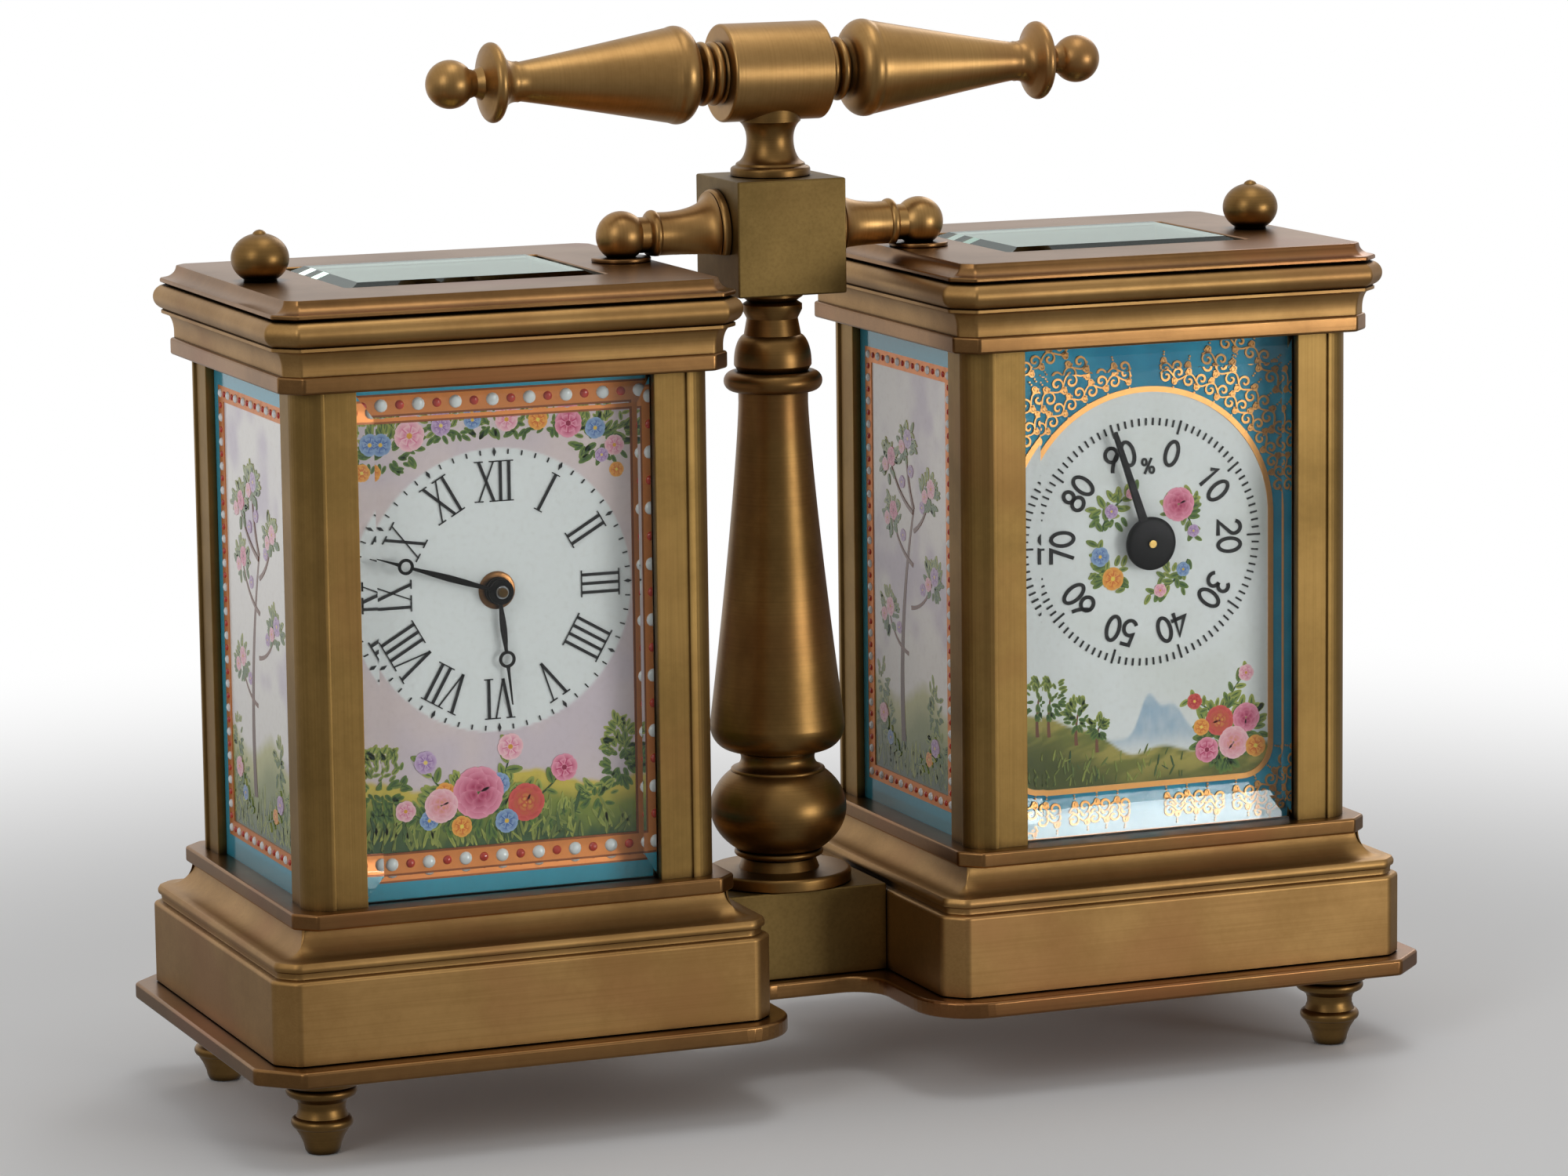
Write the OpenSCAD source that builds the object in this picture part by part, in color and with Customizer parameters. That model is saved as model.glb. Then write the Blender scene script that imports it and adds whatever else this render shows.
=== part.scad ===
/* [Overall] */
// Distance between the centres of the two cases
case_pitch = 78; // [74:1:96]
// Facets on the large turned pieces
turn_fn = 64; // [32:8:96]

/* [Feet and base plate] */
// Height of the turned feet
foot_h = 9.3; // [6:0.1:14]
// Largest radius of a foot, at its top flange
foot_r = 4.6; // [3.8:0.1:5.6]
// Distance from a foot's axis to the edge of the plinth above it
foot_in = 6.6; // [5.8:0.1:9]
// Thickness of the base plate
base_t = 1.9; // [1.2:0.1:3]
// How far the base plate stands out beyond the plinths
base_out = 2.4; // [1.5:0.1:4]
// Cut at the outer corners of the base plate
base_cut = 4.3; // [2:0.1:7]
// Radius of the inner corners of the base plate
base_inner_r = 7; // [4:0.5:10]
// How far the neck of the base plate stands out in front of the link block
neck_out = 1.5; // [0.5:0.1:4]
// Radius of the hollows where the neck meets the lobes
neck_fillet_r = 4; // [2:0.5:6]

/* [Plinth] */
// Width of a plinth
plinth_w = 57.4; // [54:0.2:62]
// Depth of a plinth
plinth_d = 50.2; // [47:0.2:56]
// Height of the plain part of a plinth
plinth_box_h = 9.35; // [7:0.05:14]
// Height of the moulding between the plain part and the floor plate
plinth_mould_h = 4.75; // [4:0.05:7]
// Cut at the corners of a plinth
plinth_cut = 2.2; // [1:0.1:4]
// Wall of the hollow plinth
plinth_wall = 3; // [2:0.1:4]

/* [Case] */
// Width across the outsides of the posts
case_w = 47.6; // [45:0.2:52]
// Depth across the outsides of the posts
case_d = 41.6; // [39:0.2:46]
// Height of the posts
post_h = 56.2; // [52:0.1:66]
// How far the floor plate stands out beyond the posts
floor_out = 1.7; // [1:0.1:2.5]
// Thickness of the floor plate
floor_t = 1.8; // [1.2:0.1:3]
// Thickness of the plate under the cornice
cornice_plate_t = 1.9; // [1.2:0.1:3]
// How far the plate under the cornice stands out beyond the posts
cornice_plate_out = 1.8; // [1:0.1:2.5]
// Height of the cornice moulding
cornice_h = 6.2; // [5.4:0.1:8]
// How far the cornice bead stands out beyond the posts
cornice_out = 3.4; // [2.6:0.1:4.2]
// Radius of the cornice bead
bead_r = 1.4; // [1:0.1:1.8]
// Thickness of the lid
lid_t = 1.9; // [1.4:0.1:3]
// How far the lid stands out beyond the posts
lid_out = 2.6; // [1.8:0.1:3.2]
// Width of the bevel round the lid
lid_bevel = 1.7; // [0.8:0.1:2.4]
// Cut at the corners of the floor plate, the cornice and the lid
case_cut = 2.2; // [1:0.1:4]

/* [Posts] */
// Length of each leg of a post's section
post_leg = 6.9; // [6:0.1:8]
// Radius of the rounded corner of a post
post_r = 3.2; // [2.4:0.1:3.8]
// Step from the rounded corner back to the flat strips
post_step = 0.3; // [0.1:0.05:0.5]
// Thickness of a post's legs
post_wall = 3.4; // [3:0.1:4]
// Distance from a post's outside to its groove
groove_in = 1.4; // [1:0.1:1.6]
// Width of the grooves that hold glass and panels
groove_w = 1.7; // [1.2:0.1:1.8]
// Depth of the grooves
groove_depth = 1; // [0.6:0.1:1.4]
// Clearance round glass and panels in their grooves
glass_gap = 0.05; // [0.02:0.01:0.1]

/* [Glass] */
// How far the middle of the front glass stands out beyond its edge
front_bevel_t = 0.9; // [0.4:0.1:1]
// Width of the bevel of the front glass inside the opening
front_bevel_w = 2.8; // [1.5:0.1:4]
// Width of the window in the lid
window_w = 30.1; // [26:0.1:33]
// Depth of the window in the lid
window_d = 23.4; // [20:0.1:27]
// Thickness of the lid glass at its edge
lid_glass_edge_t = 1.2; // [0.8:0.1:1.6]
// Thickness of the lid glass in its middle
lid_glass_t = 2.2; // [1.8:0.1:3]
// Width of the bevel of the lid glass
lid_glass_bevel = 2; // [1:0.1:3]
// Width of the ledge that carries the lid glass
glass_ledge = 1; // [0.6:0.1:1.6]

/* [Rear doors] */
// Thickness of a rear door
door_t = 2.6; // [2:0.1:3]
// Width of a rear door's frame bars
door_bar = 3.4; // [2.8:0.1:5]
// Clearance between a rear door and the case
door_gap = 0.25; // [0.15:0.05:0.5]
// Thickness of the door glass
door_glass_t = 1.4; // [1:0.1:1.8]
// Radius of the hinge pins
hinge_pin_r = 0.6; // [0.4:0.05:0.8]
// Length of the knob on a rear door
knob_l = 3.2; // [2:0.1:5]

/* [Dials] */
// Height of the dial centres above the floor plates
dial_centre_h = 32.8; // [30:0.1:36]
// Distance from the posts' front to a dial's face
dial_in = 5.8; // [5.2:0.1:7]
// Thickness of the porcelain dials
dial_t = 1.4; // [1:0.1:2]
// Length of the minute hand
minute_hand_l = 14.8; // [11:0.1:15.4]
// Length of the hour hand
hour_hand_l = 12.7; // [8:0.1:14]
// Rest angle of the minute hand, clockwise from the top
minute_angle = 288; // [0:1:359]
// Rest angle of the hour hand, clockwise from the top
hour_angle = 174; // [0:1:359]
// Thickness of the hands
hand_t = 0.3; // [0.2:0.05:0.5]
// Length of the weather pointer
pointer_l = 13.7; // [10:0.1:15]
// Rest angle of the weather pointer, clockwise from the top
pointer_angle = -19; // [-180:1:180]
// Radius of the weather pointer's hub
pointer_hub_r = 3.05; // [2:0.05:4]

/* [Column and head] */
// Depth of the link block between the plinths
link_d = 14.4; // [12:0.2:18]
// Height of the link block
link_h = 10.1; // [8:0.1:13]
// Radius of the disc at the column's foot
column_foot_r = 8.25; // [6:0.05:9]
// Side of the cube on top of the column
cube_side = 13; // [11:0.2:16]
// Height of the cube's centre above the lids
cube_above_lid = 2.3; // [0:0.1:6]
// Radius of the tie rod inside the column
rod_r = 1.5; // [1:0.1:1.8]
// Radial clearance round the tie rod, studs and spigots
rod_gap = 0.05; // [0.02:0.01:0.1]

/* [Handle, arms and finials] */
// Height of the handle's axis above the cube
handle_rise = 11.7; // [9:0.1:16]
// Radius of the barrel in the middle of the handle
barrel_r = 5.5; // [4.5:0.1:6.5]
// Length of the barrel in the middle of the handle
barrel_l = 12.1; // [10:0.1:16]
// Distance from the middle of the handle to the centre of an end ball
handle_ball_x = 37.8; // [34:0.1:44]
// Radius of a grip at its fullest
grip_r = 5.5; // [4.5:0.1:6.5]
// Distance from a case's centre to its arm ball
arm_in = 20.95; // [19:0.05:22.5]
// Radius of an arm ball
arm_ball_r = 2.81; // [2.2:0.01:3.4]
// Distance from a case's centre to its outer finial
finial_out = 21; // [19:0.1:22.5]
// Radius of a finial ball
finial_r = 3.2; // [2.4:0.1:3.6]

/* [Clock movement] */
// Distance from a dial's back to the movement's front plate
dial_feet_l = 3.3; // [3:0.1:4]
// Thickness of the movement's plates
mplate_t = 1.4; // [1:0.1:2]
// Distance between the movement's plates
mplate_gap = 17.8; // [16.8:0.1:19]
// Half the width of the movement's plates
mplate_half_w = 17.5; // [16:0.1:18.5]
// Teeth of the great wheel on the barrel
great_teeth = 72; // [60:1:80]
// Leaves of the centre pinion
centre_leaves = 10; // [8:1:12]
// Teeth of the centre wheel
centre_teeth = 60; // [56:1:64]
// Leaves of the third pinion
third_leaves = 8; // [8:1:10]
// Teeth of the third wheel
third_teeth = 64; // [60:1:66]
// Leaves of the contrate pinion
contrate_leaves = 8; // [8:1:10]
// Teeth of the contrate wheel
contrate_teeth = 64; // [56:4:64]
// Leaves of the escape pinion
escape_leaves = 8; // [8:1:10]
// Teeth of the escape wheel
escape_teeth = 15; // [13:1:17]
// Leaves of the cannon pinion
cannon_leaves = 12; // [10:1:14]
// Teeth of the minute wheel
minute_teeth = 36; // [30:1:42]
// Leaves of the minute pinion
minute_leaves = 10; // [8:1:12]
// Teeth of the hour wheel
hour_teeth = 40; // [32:1:48]
// Radial clearance of arbors and pivots
pivot_gap = 0.03; // [0.02:0.01:0.08]
// Radius of the balance wheel
balance_r = 6.5; // [5:0.1:7]

/* [Weather instrument] */
// Radius of the coil drum
drum_r = 14; // [12:0.1:15]
// Depth of the coil drum
drum_depth = 6.5; // [5:0.1:9]
// Turns of the humidity coil
coil_turns = 6; // [4:1:8]

/* [Hidden] */

brass = [0.60, 0.46, 0.25];
copper_edge = [0.66, 0.44, 0.27];
dark_brass = [0.42, 0.33, 0.19];
gilt = [0.80, 0.62, 0.30];
steel = [0.55, 0.56, 0.58];
blued = [0.08, 0.08, 0.10];
glass_tint = [0.75, 0.85, 0.80, 0.35];
porcelain = [0.93, 0.93, 0.90];
turquoise = [0.24, 0.62, 0.72];

// Overlap that joins shapes of one piece, and the reach of a cut beyond a face
eps = 0.01;
cut_over = 1;

// Heights of the faces that the pieces stand on
base_z = foot_h;
plinth_z = base_z + base_t;
plinth_h = plinth_box_h + plinth_mould_h;
floor_z = plinth_z + plinth_h;
post_z = floor_z + floor_t;
cornice_plate_z = post_z + post_h;
cornice_z = cornice_plate_z + cornice_plate_t;
lid_z = cornice_z + cornice_h;
lid_top_z = lid_z + lid_t;
link_top_z = plinth_z + link_h;
cube_z = lid_top_z + cube_above_lid;
cube_bottom_z = cube_z - cube_side / 2;
cube_top_z = cube_z + cube_side / 2;
handle_z = cube_top_z + handle_rise;
dial_z = post_z + dial_centre_h;

// Places across the object
case_x = case_pitch / 2;
link_half = case_x - plinth_w / 2;
foot_x = case_x + plinth_w / 2 - foot_in;
foot_y = plinth_d / 2 - foot_in;
opening_w = case_w - 2 * post_leg;
opening_d = case_d - 2 * post_leg;
front_y = -case_d / 2;
glass_back_y = front_y + groove_in + groove_w - glass_gap;
dial_y = front_y + dial_in;
dial_back_y = dial_y + dial_t;
mplate_y = dial_back_y + dial_feet_l;
train_y = mplate_y + mplate_t;
rear_mplate_y = train_y + mplate_gap;
rear_mplate_back_y = rear_mplate_y + mplate_t;

// Studs
stud_r = 0.9;
foot_stud_r = 1.2;
foot_stud_l = base_t + 4;
boss_r = 3.2;

// Points of an arc, with its centre, radius and end angles
function arc(cx, cy, r, a0, a1, n = 8) =
    [for (i = [0:n]) [cx + r * cos(a0 + (a1 - a0) * i / n), cy + r * sin(a0 + (a1 - a0) * i / n)]];

// Points of a part of an ellipse, with its centre and its two radii
function oval(cx, cy, rx, ry, a0, a1, n = 12) =
    [for (i = [0:n]) [cx + rx * cos(a0 + (a1 - a0) * i / n), cy + ry * sin(a0 + (a1 - a0) * i / n)]];

// Points of a taper from one radius and height to another, bowed by a power
function taper(r0, z0, r1, z1, power, n = 10) =
    [for (i = [0:n]) [r1 + (r0 - r1) * pow(1 - i / n, power), z0 + (z1 - z0) * i / n]];

// A solid of revolution about Z from the points of its outer line, radius first
module turned(points, fn = turn_fn) {
    rotate_extrude($fn = fn)
        polygon(concat([[0, points[0][1]]], points, [[0, points[len(points) - 1][1]]]));
}

// Both cases, the clock at the left and the weather instrument at the right
module in_both_cases() {
    for (s = [-1, 1])
        translate([s * case_x, 0, 0])
            children();
}

module in_clock_case() {
    translate([-case_x, 0, 0])
        children();
}

module in_weather_case() {
    translate([case_x, 0, 0])
        children();
}

// A rectangle with cut corners
module cut_rect(w, d, cut) {
    intersection() {
        square([w, d], center = true);
        rotate(45)
            square((w + d - 2 * cut) / sqrt(2), center = true);
    }
}

// A plate with cut corners
module cut_plate(w, d, cut, h) {
    linear_extrude(h)
        cut_rect(w, d, cut);
}

// A half profile, drawn outwards from its nominal face, set at both ends of a span and filled between
module across(span, core, h) {
    for (s = [0, 1])
        mirror([s, 0])
            translate([span / 2, 0])
                children();
    translate([-span / 2 + core, 0])
        square([span - 2 * core, h]);
}

module swept(span, reach, core, h) {
    rotate([90, 0, 0])
        linear_extrude(2 * reach, center = true)
            across(span, core, h)
                children();
}

// A moulding round a rectangle with cut corners: the half profile is run along all four
// directions of its sides and the runs are crossed, which mitres it at each corner
module moulded(w, d, cut, core, h) {
    corner_span = (w + d - 2 * cut) / sqrt(2);
    reach = w;
    intersection() {
        swept(w, reach, core, h) children();
        rotate(90) swept(d, reach, core, h) children();
        rotate(45) swept(corner_span, reach, core, h) children();
        rotate(-45) swept(corner_span, reach, core, h) children();
    }
}

// Outline of the base plate: a lobe under each plinth and a narrow neck, left by two notches
// whose mouths and inner corners are rounded
base_w = plinth_w + 2 * base_out;
base_d = plinth_d + 2 * base_out;
neck_half = link_d / 2 + neck_out;
notch_half = case_x - base_w / 2;

function notch_side() = concat(
    [[notch_half + base_inner_r, base_d / 2 + cut_over]],
    arc(notch_half + base_inner_r, base_d / 2 - base_inner_r, base_inner_r, 90, 180, 12),
    arc(notch_half - neck_fillet_r, neck_half + neck_fillet_r, neck_fillet_r, 0, -90, 8));

module notch() {
    side = notch_side();
    last = len(side) - 1;
    polygon(concat(side, [for (i = [last:-1:0]) [-side[i][0], side[i][1]]]));
}

module base_outline() {
    difference() {
        cut_rect(case_pitch + base_w, base_d, base_cut);
        for (s = [0, 1])
            mirror([0, s])
                notch();
    }
}

module at_feet() {
    for (sx = [-1, 1], sy = [-1, 1])
        translate([sx * foot_x, sy * foot_y, 0])
            children();
}

module base_plate() {
    color(copper_edge)
        difference() {
            translate([0, 0, base_z])
                linear_extrude(base_t)
                    base_outline();
            at_feet()
                translate([0, 0, base_z - cut_over])
                    cylinder(h = base_t + 2 * cut_over, r = foot_stud_r + rod_gap, $fn = 32);
            translate([0, 0, base_z - cut_over])
                cylinder(h = base_t + 2 * cut_over, r = rod_r + rod_gap, $fn = 32);
        }
}

// A turned foot: a small flat, a cone up to a ring, a waist and a stepped flange
module foot() {
    ring_z = 0.38 * foot_h;
    waist_z = 0.56 * foot_h;
    turned(concat(
        [[1.6, 0], [1.85, 0.25], [2.1, 1.2], [2.9, ring_z - 1]],
        arc(2.75, ring_z, 0.65, -50, 70, 8),
        [[2.65, waist_z], [2.7, waist_z + 0.5], [3.3, foot_h - 2.9]],
        arc(3.3, foot_h - 2.3, 0.6, -80, 70, 6),
        [[3.6, foot_h - 1.5]],
        arc(foot_r - 0.7, foot_h - 0.9, 0.7, -70, 20, 6),
        [[foot_r, foot_h - 0.5], [foot_r, foot_h]]));
    cylinder(h = foot_h + foot_stud_l, r = foot_stud_r, $fn = 32);
}

module feet() {
    color(brass)
        at_feet()
            foot();
}

// Half profile of the plinth: plain side, small set-in, fillet and a cove up to the floor plate
plinth_core = 5;
cove_foot = 1.6;
cove_top = plinth_w / 2 - case_w / 2 - floor_out + 1.2;

module plinth_profile() {
    cove_z = plinth_box_h + 1.95;
    polygon(concat(
        [[-plinth_core - eps, 0], [0, 0], [0, plinth_box_h - 0.2], [-0.2, plinth_box_h],
            [-0.75, plinth_box_h + 0.15], [-0.75, plinth_box_h + 0.75], [-0.5, plinth_box_h + 1],
            [-0.5, cove_z - 0.5], [-0.8, cove_z - 0.1], [-cove_foot, cove_z]],
        oval(-cove_foot, plinth_h, cove_top - cove_foot, plinth_h - cove_z, 270, 180, 8),
        [[-plinth_core - eps, plinth_h]]));
}

module plinth_solid() {
    translate([0, 0, plinth_z])
        difference() {
            moulded(plinth_w, plinth_d, plinth_cut, plinth_core, plinth_h)
                plinth_profile();
            difference() {
                translate([0, 0, -cut_over])
                    cut_plate(plinth_w - 2 * cove_top - 2 * plinth_wall,
                        plinth_d - 2 * cove_top - 2 * plinth_wall, plinth_cut,
                        plinth_h - plinth_wall + cut_over);
                for (sx = [-1, 1], sy = [-1, 1])
                    translate([sx * (plinth_w / 2 - foot_in), sy * foot_y, -cut_over])
                        cylinder(h = plinth_h, r = boss_r, $fn = 32);
            }
            // holes for the foot studs
            for (sx = [-1, 1], sy = [-1, 1])
                translate([sx * (plinth_w / 2 - foot_in), sy * foot_y, -cut_over])
                    cylinder(h = foot_stud_l - base_t + 0.5 + cut_over, r = foot_stud_r + rod_gap,
                        $fn = 32);
        }
}

module clock_plinth() {
    color(brass) in_clock_case() plinth_solid();
}

module weather_plinth() {
    color(brass) in_weather_case() plinth_solid();
}

// Hinge axis of the rear doors, near the left edge of the rear opening
door_y = case_d / 2 - post_step - door_t / 2;
door_w = opening_w - 2 * door_gap;
hinge_x = -door_w / 2 + door_t / 2;

module hinge_hole(z, h) {
    translate([hinge_x, door_y, z])
        cylinder(h = h, r = hinge_pin_r + rod_gap, $fn = 32);
}

module floor_plates() {
    color(copper_edge)
        in_both_cases()
            difference() {
                translate([0, 0, floor_z])
                    cut_plate(case_w + 2 * floor_out, case_d + 2 * floor_out, case_cut, floor_t);
                hinge_hole(floor_z + floor_t / 2, floor_t);
            }
}

// Section of a corner post, drawn inwards from its outer corner
module post_section() {
    difference() {
        union() {
            intersection() {
                square(post_r);
                translate([post_r, post_r])
                    circle(post_r, $fn = 48);
            }
            translate([post_r - eps, post_step])
                square([post_leg - post_r + eps, post_wall]);
            translate([post_step, post_r - eps])
                square([post_wall, post_leg - post_r + eps]);
        }
        translate([post_leg - groove_depth, groove_in])
            square([groove_depth + cut_over, groove_w]);
        translate([groove_in, post_leg - groove_depth])
            square([groove_w, groove_depth + cut_over]);
    }
}

module four_posts() {
    for (sx = [0, 1], sy = [0, 1])
        mirror([sx, 0, 0])
            mirror([0, sy, 0])
                translate([-case_w / 2, -case_d / 2, post_z])
                    linear_extrude(post_h)
                        post_section();
}

module clock_posts() {
    color(brass) in_clock_case() four_posts();
}

module weather_posts() {
    color(brass) in_weather_case() four_posts();
}

cornice_window_w = window_w - 2 * glass_ledge;
cornice_window_d = window_d - 2 * glass_ledge;

module window_cut(w, d, z, h) {
    translate([-w / 2, -d / 2, z])
        cube([w, d, h]);
}

module cornice_plates() {
    color(copper_edge)
        in_both_cases()
            difference() {
                translate([0, 0, cornice_plate_z])
                    cut_plate(case_w + 2 * cornice_plate_out, case_d + 2 * cornice_plate_out,
                        case_cut, cornice_plate_t);
                window_cut(cornice_window_w, cornice_window_d, cornice_plate_z - cut_over,
                    cornice_plate_t + 2 * cut_over);
                hinge_hole(cornice_plate_z - cut_over, cornice_plate_t / 2 + cut_over);
            }
}

// Half profile of the cornice: a cove, two small fillets and a full round bead under the lid
cornice_core = 6;

module cornice_profile() {
    bead_z = cornice_h - bead_r - 0.2;
    cove_h = bead_z - bead_r;
    polygon(concat(
        [[-cornice_core - eps, 0], [-2.1, 0], [-2.1, 0.6]],
        oval(-2.1 + 0.9, 0.6, 0.9, cove_h - 1.1, 180, 90, 6),
        [[-0.9, cove_h - 0.5], [-0.9, cove_h - 0.1]],
        arc(-bead_r, bead_z, bead_r, -70, 75, 12),
        [[-1.5, cornice_h - 0.1], [-1.5, cornice_h], [-cornice_core - eps, cornice_h]]));
}

module stud_hole(x, z, h) {
    translate([x, 0, z])
        cylinder(h = h, r = stud_r + rod_gap, $fn = 32);
}

stud_depth = 3;
stud_room = 0.5;
stud_floor_z = lid_z - stud_depth - stud_room;

module cornice_solid(out) {
    difference() {
        translate([0, 0, cornice_z])
            moulded(case_w + 2 * cornice_out, case_d + 2 * cornice_out, case_cut + 0.6,
                cornice_core, cornice_h)
                cornice_profile();
        window_cut(cornice_window_w, cornice_window_d, cornice_z - cut_over,
            cornice_h + 2 * cut_over);
        stud_hole(out * finial_out, stud_floor_z, stud_depth + cut_over);
        stud_hole(-out * arm_in, stud_floor_z, stud_depth + cut_over);
    }
}

module clock_cornice() {
    color(brass) in_clock_case() cornice_solid(-1);
}

module weather_cornice() {
    color(brass) in_weather_case() cornice_solid(1);
}

// Half profile of the lid: a thin upright edge and a slightly hollow bevel
lid_core = 5;

module lid_profile() {
    edge_h = 0.45;
    polygon(concat(
        [[-lid_core - eps, 0], [0, 0], [0, edge_h]],
        oval(0, lid_t - 0.15, lid_bevel, lid_t - 0.15 - edge_h, 270, 180, 6),
        [[-lid_bevel - 0.1, lid_t], [-lid_core - eps, lid_t]]));
}

module lid_solid(out) {
    difference() {
        translate([0, 0, lid_z])
            moulded(case_w + 2 * lid_out, case_d + 2 * lid_out, case_cut, lid_core, lid_t)
                lid_profile();
        window_cut(window_w, window_d, lid_z - cut_over, lid_t + 2 * cut_over);
        stud_hole(out * finial_out, lid_z - cut_over, lid_t + 2 * cut_over);
        stud_hole(-out * arm_in, lid_z - cut_over, lid_t + 2 * cut_over);
    }
}

module clock_lid() {
    color(copper_edge) in_clock_case() lid_solid(-1);
}

module weather_lid() {
    color(copper_edge) in_weather_case() lid_solid(1);
}

// Section of a sheet of glass with a bevel along both edges of its upper face
module bevel_section(w, edge_t, mid_t, margin, run) {
    polygon([[-w / 2, 0], [w / 2, 0], [w / 2, edge_t], [w / 2 - margin, edge_t],
        [w / 2 - run, mid_t], [-w / 2 + run, mid_t], [-w / 2 + margin, edge_t], [-w / 2, edge_t]]);
}

// A sheet of glass lying in XY, with a bevel all round its upper face
module bevelled_sheet(w, d, edge_t, mid_t, bevel, margin) {
    run = margin + bevel;
    intersection() {
        rotate([90, 0, 0])
            linear_extrude(2 * d, center = true)
                bevel_section(w, edge_t, mid_t, margin, run);
        rotate([90, 0, 90])
            linear_extrude(2 * w, center = true)
                bevel_section(d, edge_t, mid_t, margin, run);
    }
}

module lid_glasses() {
    color(glass_tint)
        in_both_cases()
            translate([0, 0, lid_z])
                bevelled_sheet(window_w - 2 * glass_gap, window_d - 2 * glass_gap,
                    lid_glass_edge_t, lid_glass_t, lid_glass_bevel, eps);
}

pane_edge_t = groove_w - 2 * glass_gap;
pane_h = post_h - 2 * glass_gap;

module front_glasses() {
    color(glass_tint)
        in_both_cases()
            translate([0, glass_back_y, post_z + pane_h / 2])
                rotate([90, 0, 0])
                    bevelled_sheet(opening_w + 2 * (groove_depth - glass_gap), pane_h, pane_edge_t,
                        pane_edge_t + front_bevel_t, front_bevel_w, groove_depth);
}

// The two porcelain side panels of a case
module side_panels() {
    panel_d = opening_d + 2 * (groove_depth - glass_gap);
    for (s = [-1, 1])
        translate([s * (case_w / 2 - groove_in - groove_w / 2), 0, post_z + pane_h / 2])
            cube([pane_edge_t, panel_d, pane_h], center = true);
}

module clock_panels() {
    color(turquoise) in_clock_case() side_panels();
}

module weather_panels() {
    color(turquoise) in_weather_case() side_panels();
}

// A porcelain dial with its four feet, which reach back to the plate behind it
dial_w = case_w - 2 * (post_step + post_wall) - 0.4;
dial_foot_x = 14.5;
dial_foot_dz = 16;
dial_foot_r = 0.9;

module dial_solid(hole_r) {
    difference() {
        union() {
            translate([-dial_w / 2, dial_y, post_z])
                cube([dial_w, dial_t, pane_h]);
            for (sx = [-1, 1], sz = [-1, 1])
                translate([sx * dial_foot_x, dial_y + dial_t / 2, dial_z + sz * dial_foot_dz])
                    rotate([-90, 0, 0])
                        cylinder(h = dial_t / 2 + dial_feet_l, r = dial_foot_r, $fn = 24);
        }
        translate([0, dial_y - cut_over, dial_z])
            rotate([-90, 0, 0])
                cylinder(h = dial_t + 2 * cut_over, r = hole_r, $fn = 32);
    }
}

collar_r = 1.7;
staff_r = 0.7;

module clock_dial() {
    color(porcelain) in_clock_case() dial_solid(collar_r + pivot_gap);
}

module weather_dial() {
    color(porcelain) in_weather_case() dial_solid(staff_r + 0.4);
}

// A rear door: a frame that turns on two pins, with its glass set in from the inside
door_h = post_h - 2 * door_gap;
door_z = post_z + door_gap;
door_rebate = 0.8;
door_glass_w = door_w - 2 * door_bar + 2 * door_rebate;
door_glass_h = door_h - 2 * door_bar + 2 * door_rebate;

module door_solid() {
    difference() {
        union() {
            translate([hinge_x, door_y - door_t / 2, door_z])
                cube([door_w - door_t / 2, door_t, door_h]);
            translate([hinge_x, door_y, door_z])
                cylinder(h = door_h, r = door_t / 2, $fn = 32);
            translate([hinge_x, door_y, door_z - door_gap - floor_t / 2 + 0.1])
                cylinder(h = door_h + 2 * door_gap + floor_t / 2 + cornice_plate_t / 2 - 0.2,
                    r = hinge_pin_r, $fn = 32);
        }
        translate([-door_w / 2 + door_bar, door_y - door_t, door_z + door_bar])
            cube([door_w - 2 * door_bar, 2 * door_t, door_h - 2 * door_bar]);
        translate([-door_glass_w / 2 - glass_gap, door_y - door_t / 2 - cut_over,
            door_z + door_bar - door_rebate - glass_gap])
            cube([door_glass_w + 2 * glass_gap, door_glass_t + cut_over,
                door_glass_h + 2 * glass_gap]);
        // seat of the knob
        translate([knob_x, door_y, knob_z])
            rotate([-90, 0, 0])
                cylinder(h = door_t, r = knob_stem_r + rod_gap, $fn = 24);
    }
}

knob_x = door_w / 2 - door_bar / 2;
knob_z = door_z + door_h / 2;
knob_stem_r = 0.7;

module door_glass_solid() {
    translate([-door_glass_w / 2, door_y - door_t / 2, door_z + door_bar - door_rebate])
        cube([door_glass_w, door_glass_t, door_glass_h]);
}

module door_knob_solid() {
    translate([knob_x, door_y + 0.1, knob_z])
        rotate([-90, 0, 0])
            turned(concat(
                [[knob_stem_r, 0], [knob_stem_r, door_t / 2 - 0.1], [1.5, door_t / 2 - 0.1],
                    [1.5, door_t / 2 + 0.3], [0.8, door_t / 2 + 0.7]],
                oval(0, door_t / 2 + knob_l - 1.2, 1.5, 1.2, -50, 85, 8)), 32);
}

module clock_door() {
    color(brass) in_clock_case() door_solid();
}

module clock_door_glass() {
    color(glass_tint) in_clock_case() door_glass_solid();
}

module clock_door_knob() {
    color(gilt) in_clock_case() door_knob_solid();
}

module weather_door() {
    color(brass) in_weather_case() door_solid();
}

module weather_door_glass() {
    color(glass_tint) in_weather_case() door_glass_solid();
}

module weather_door_knob() {
    color(gilt) in_weather_case() door_knob_solid();
}

// The block that joins the plinths and carries the column
module link_block() {
    color(dark_brass)
        difference() {
            translate([-link_half, -link_d / 2, plinth_z])
                cube([2 * link_half, link_d, link_h]);
            translate([0, 0, plinth_z - cut_over])
                cylinder(h = link_h + 2 * cut_over, r = rod_r + rod_gap, $fn = 32);
        }
}

rod_bottom_z = base_z - 1.1;
rod_top_z = cube_bottom_z + 0.6 * cube_side;

module tie_rod() {
    color(steel)
        translate([0, 0, rod_bottom_z])
            cylinder(h = rod_top_z - rod_bottom_z, r = rod_r, $fn = 32);
}

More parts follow.
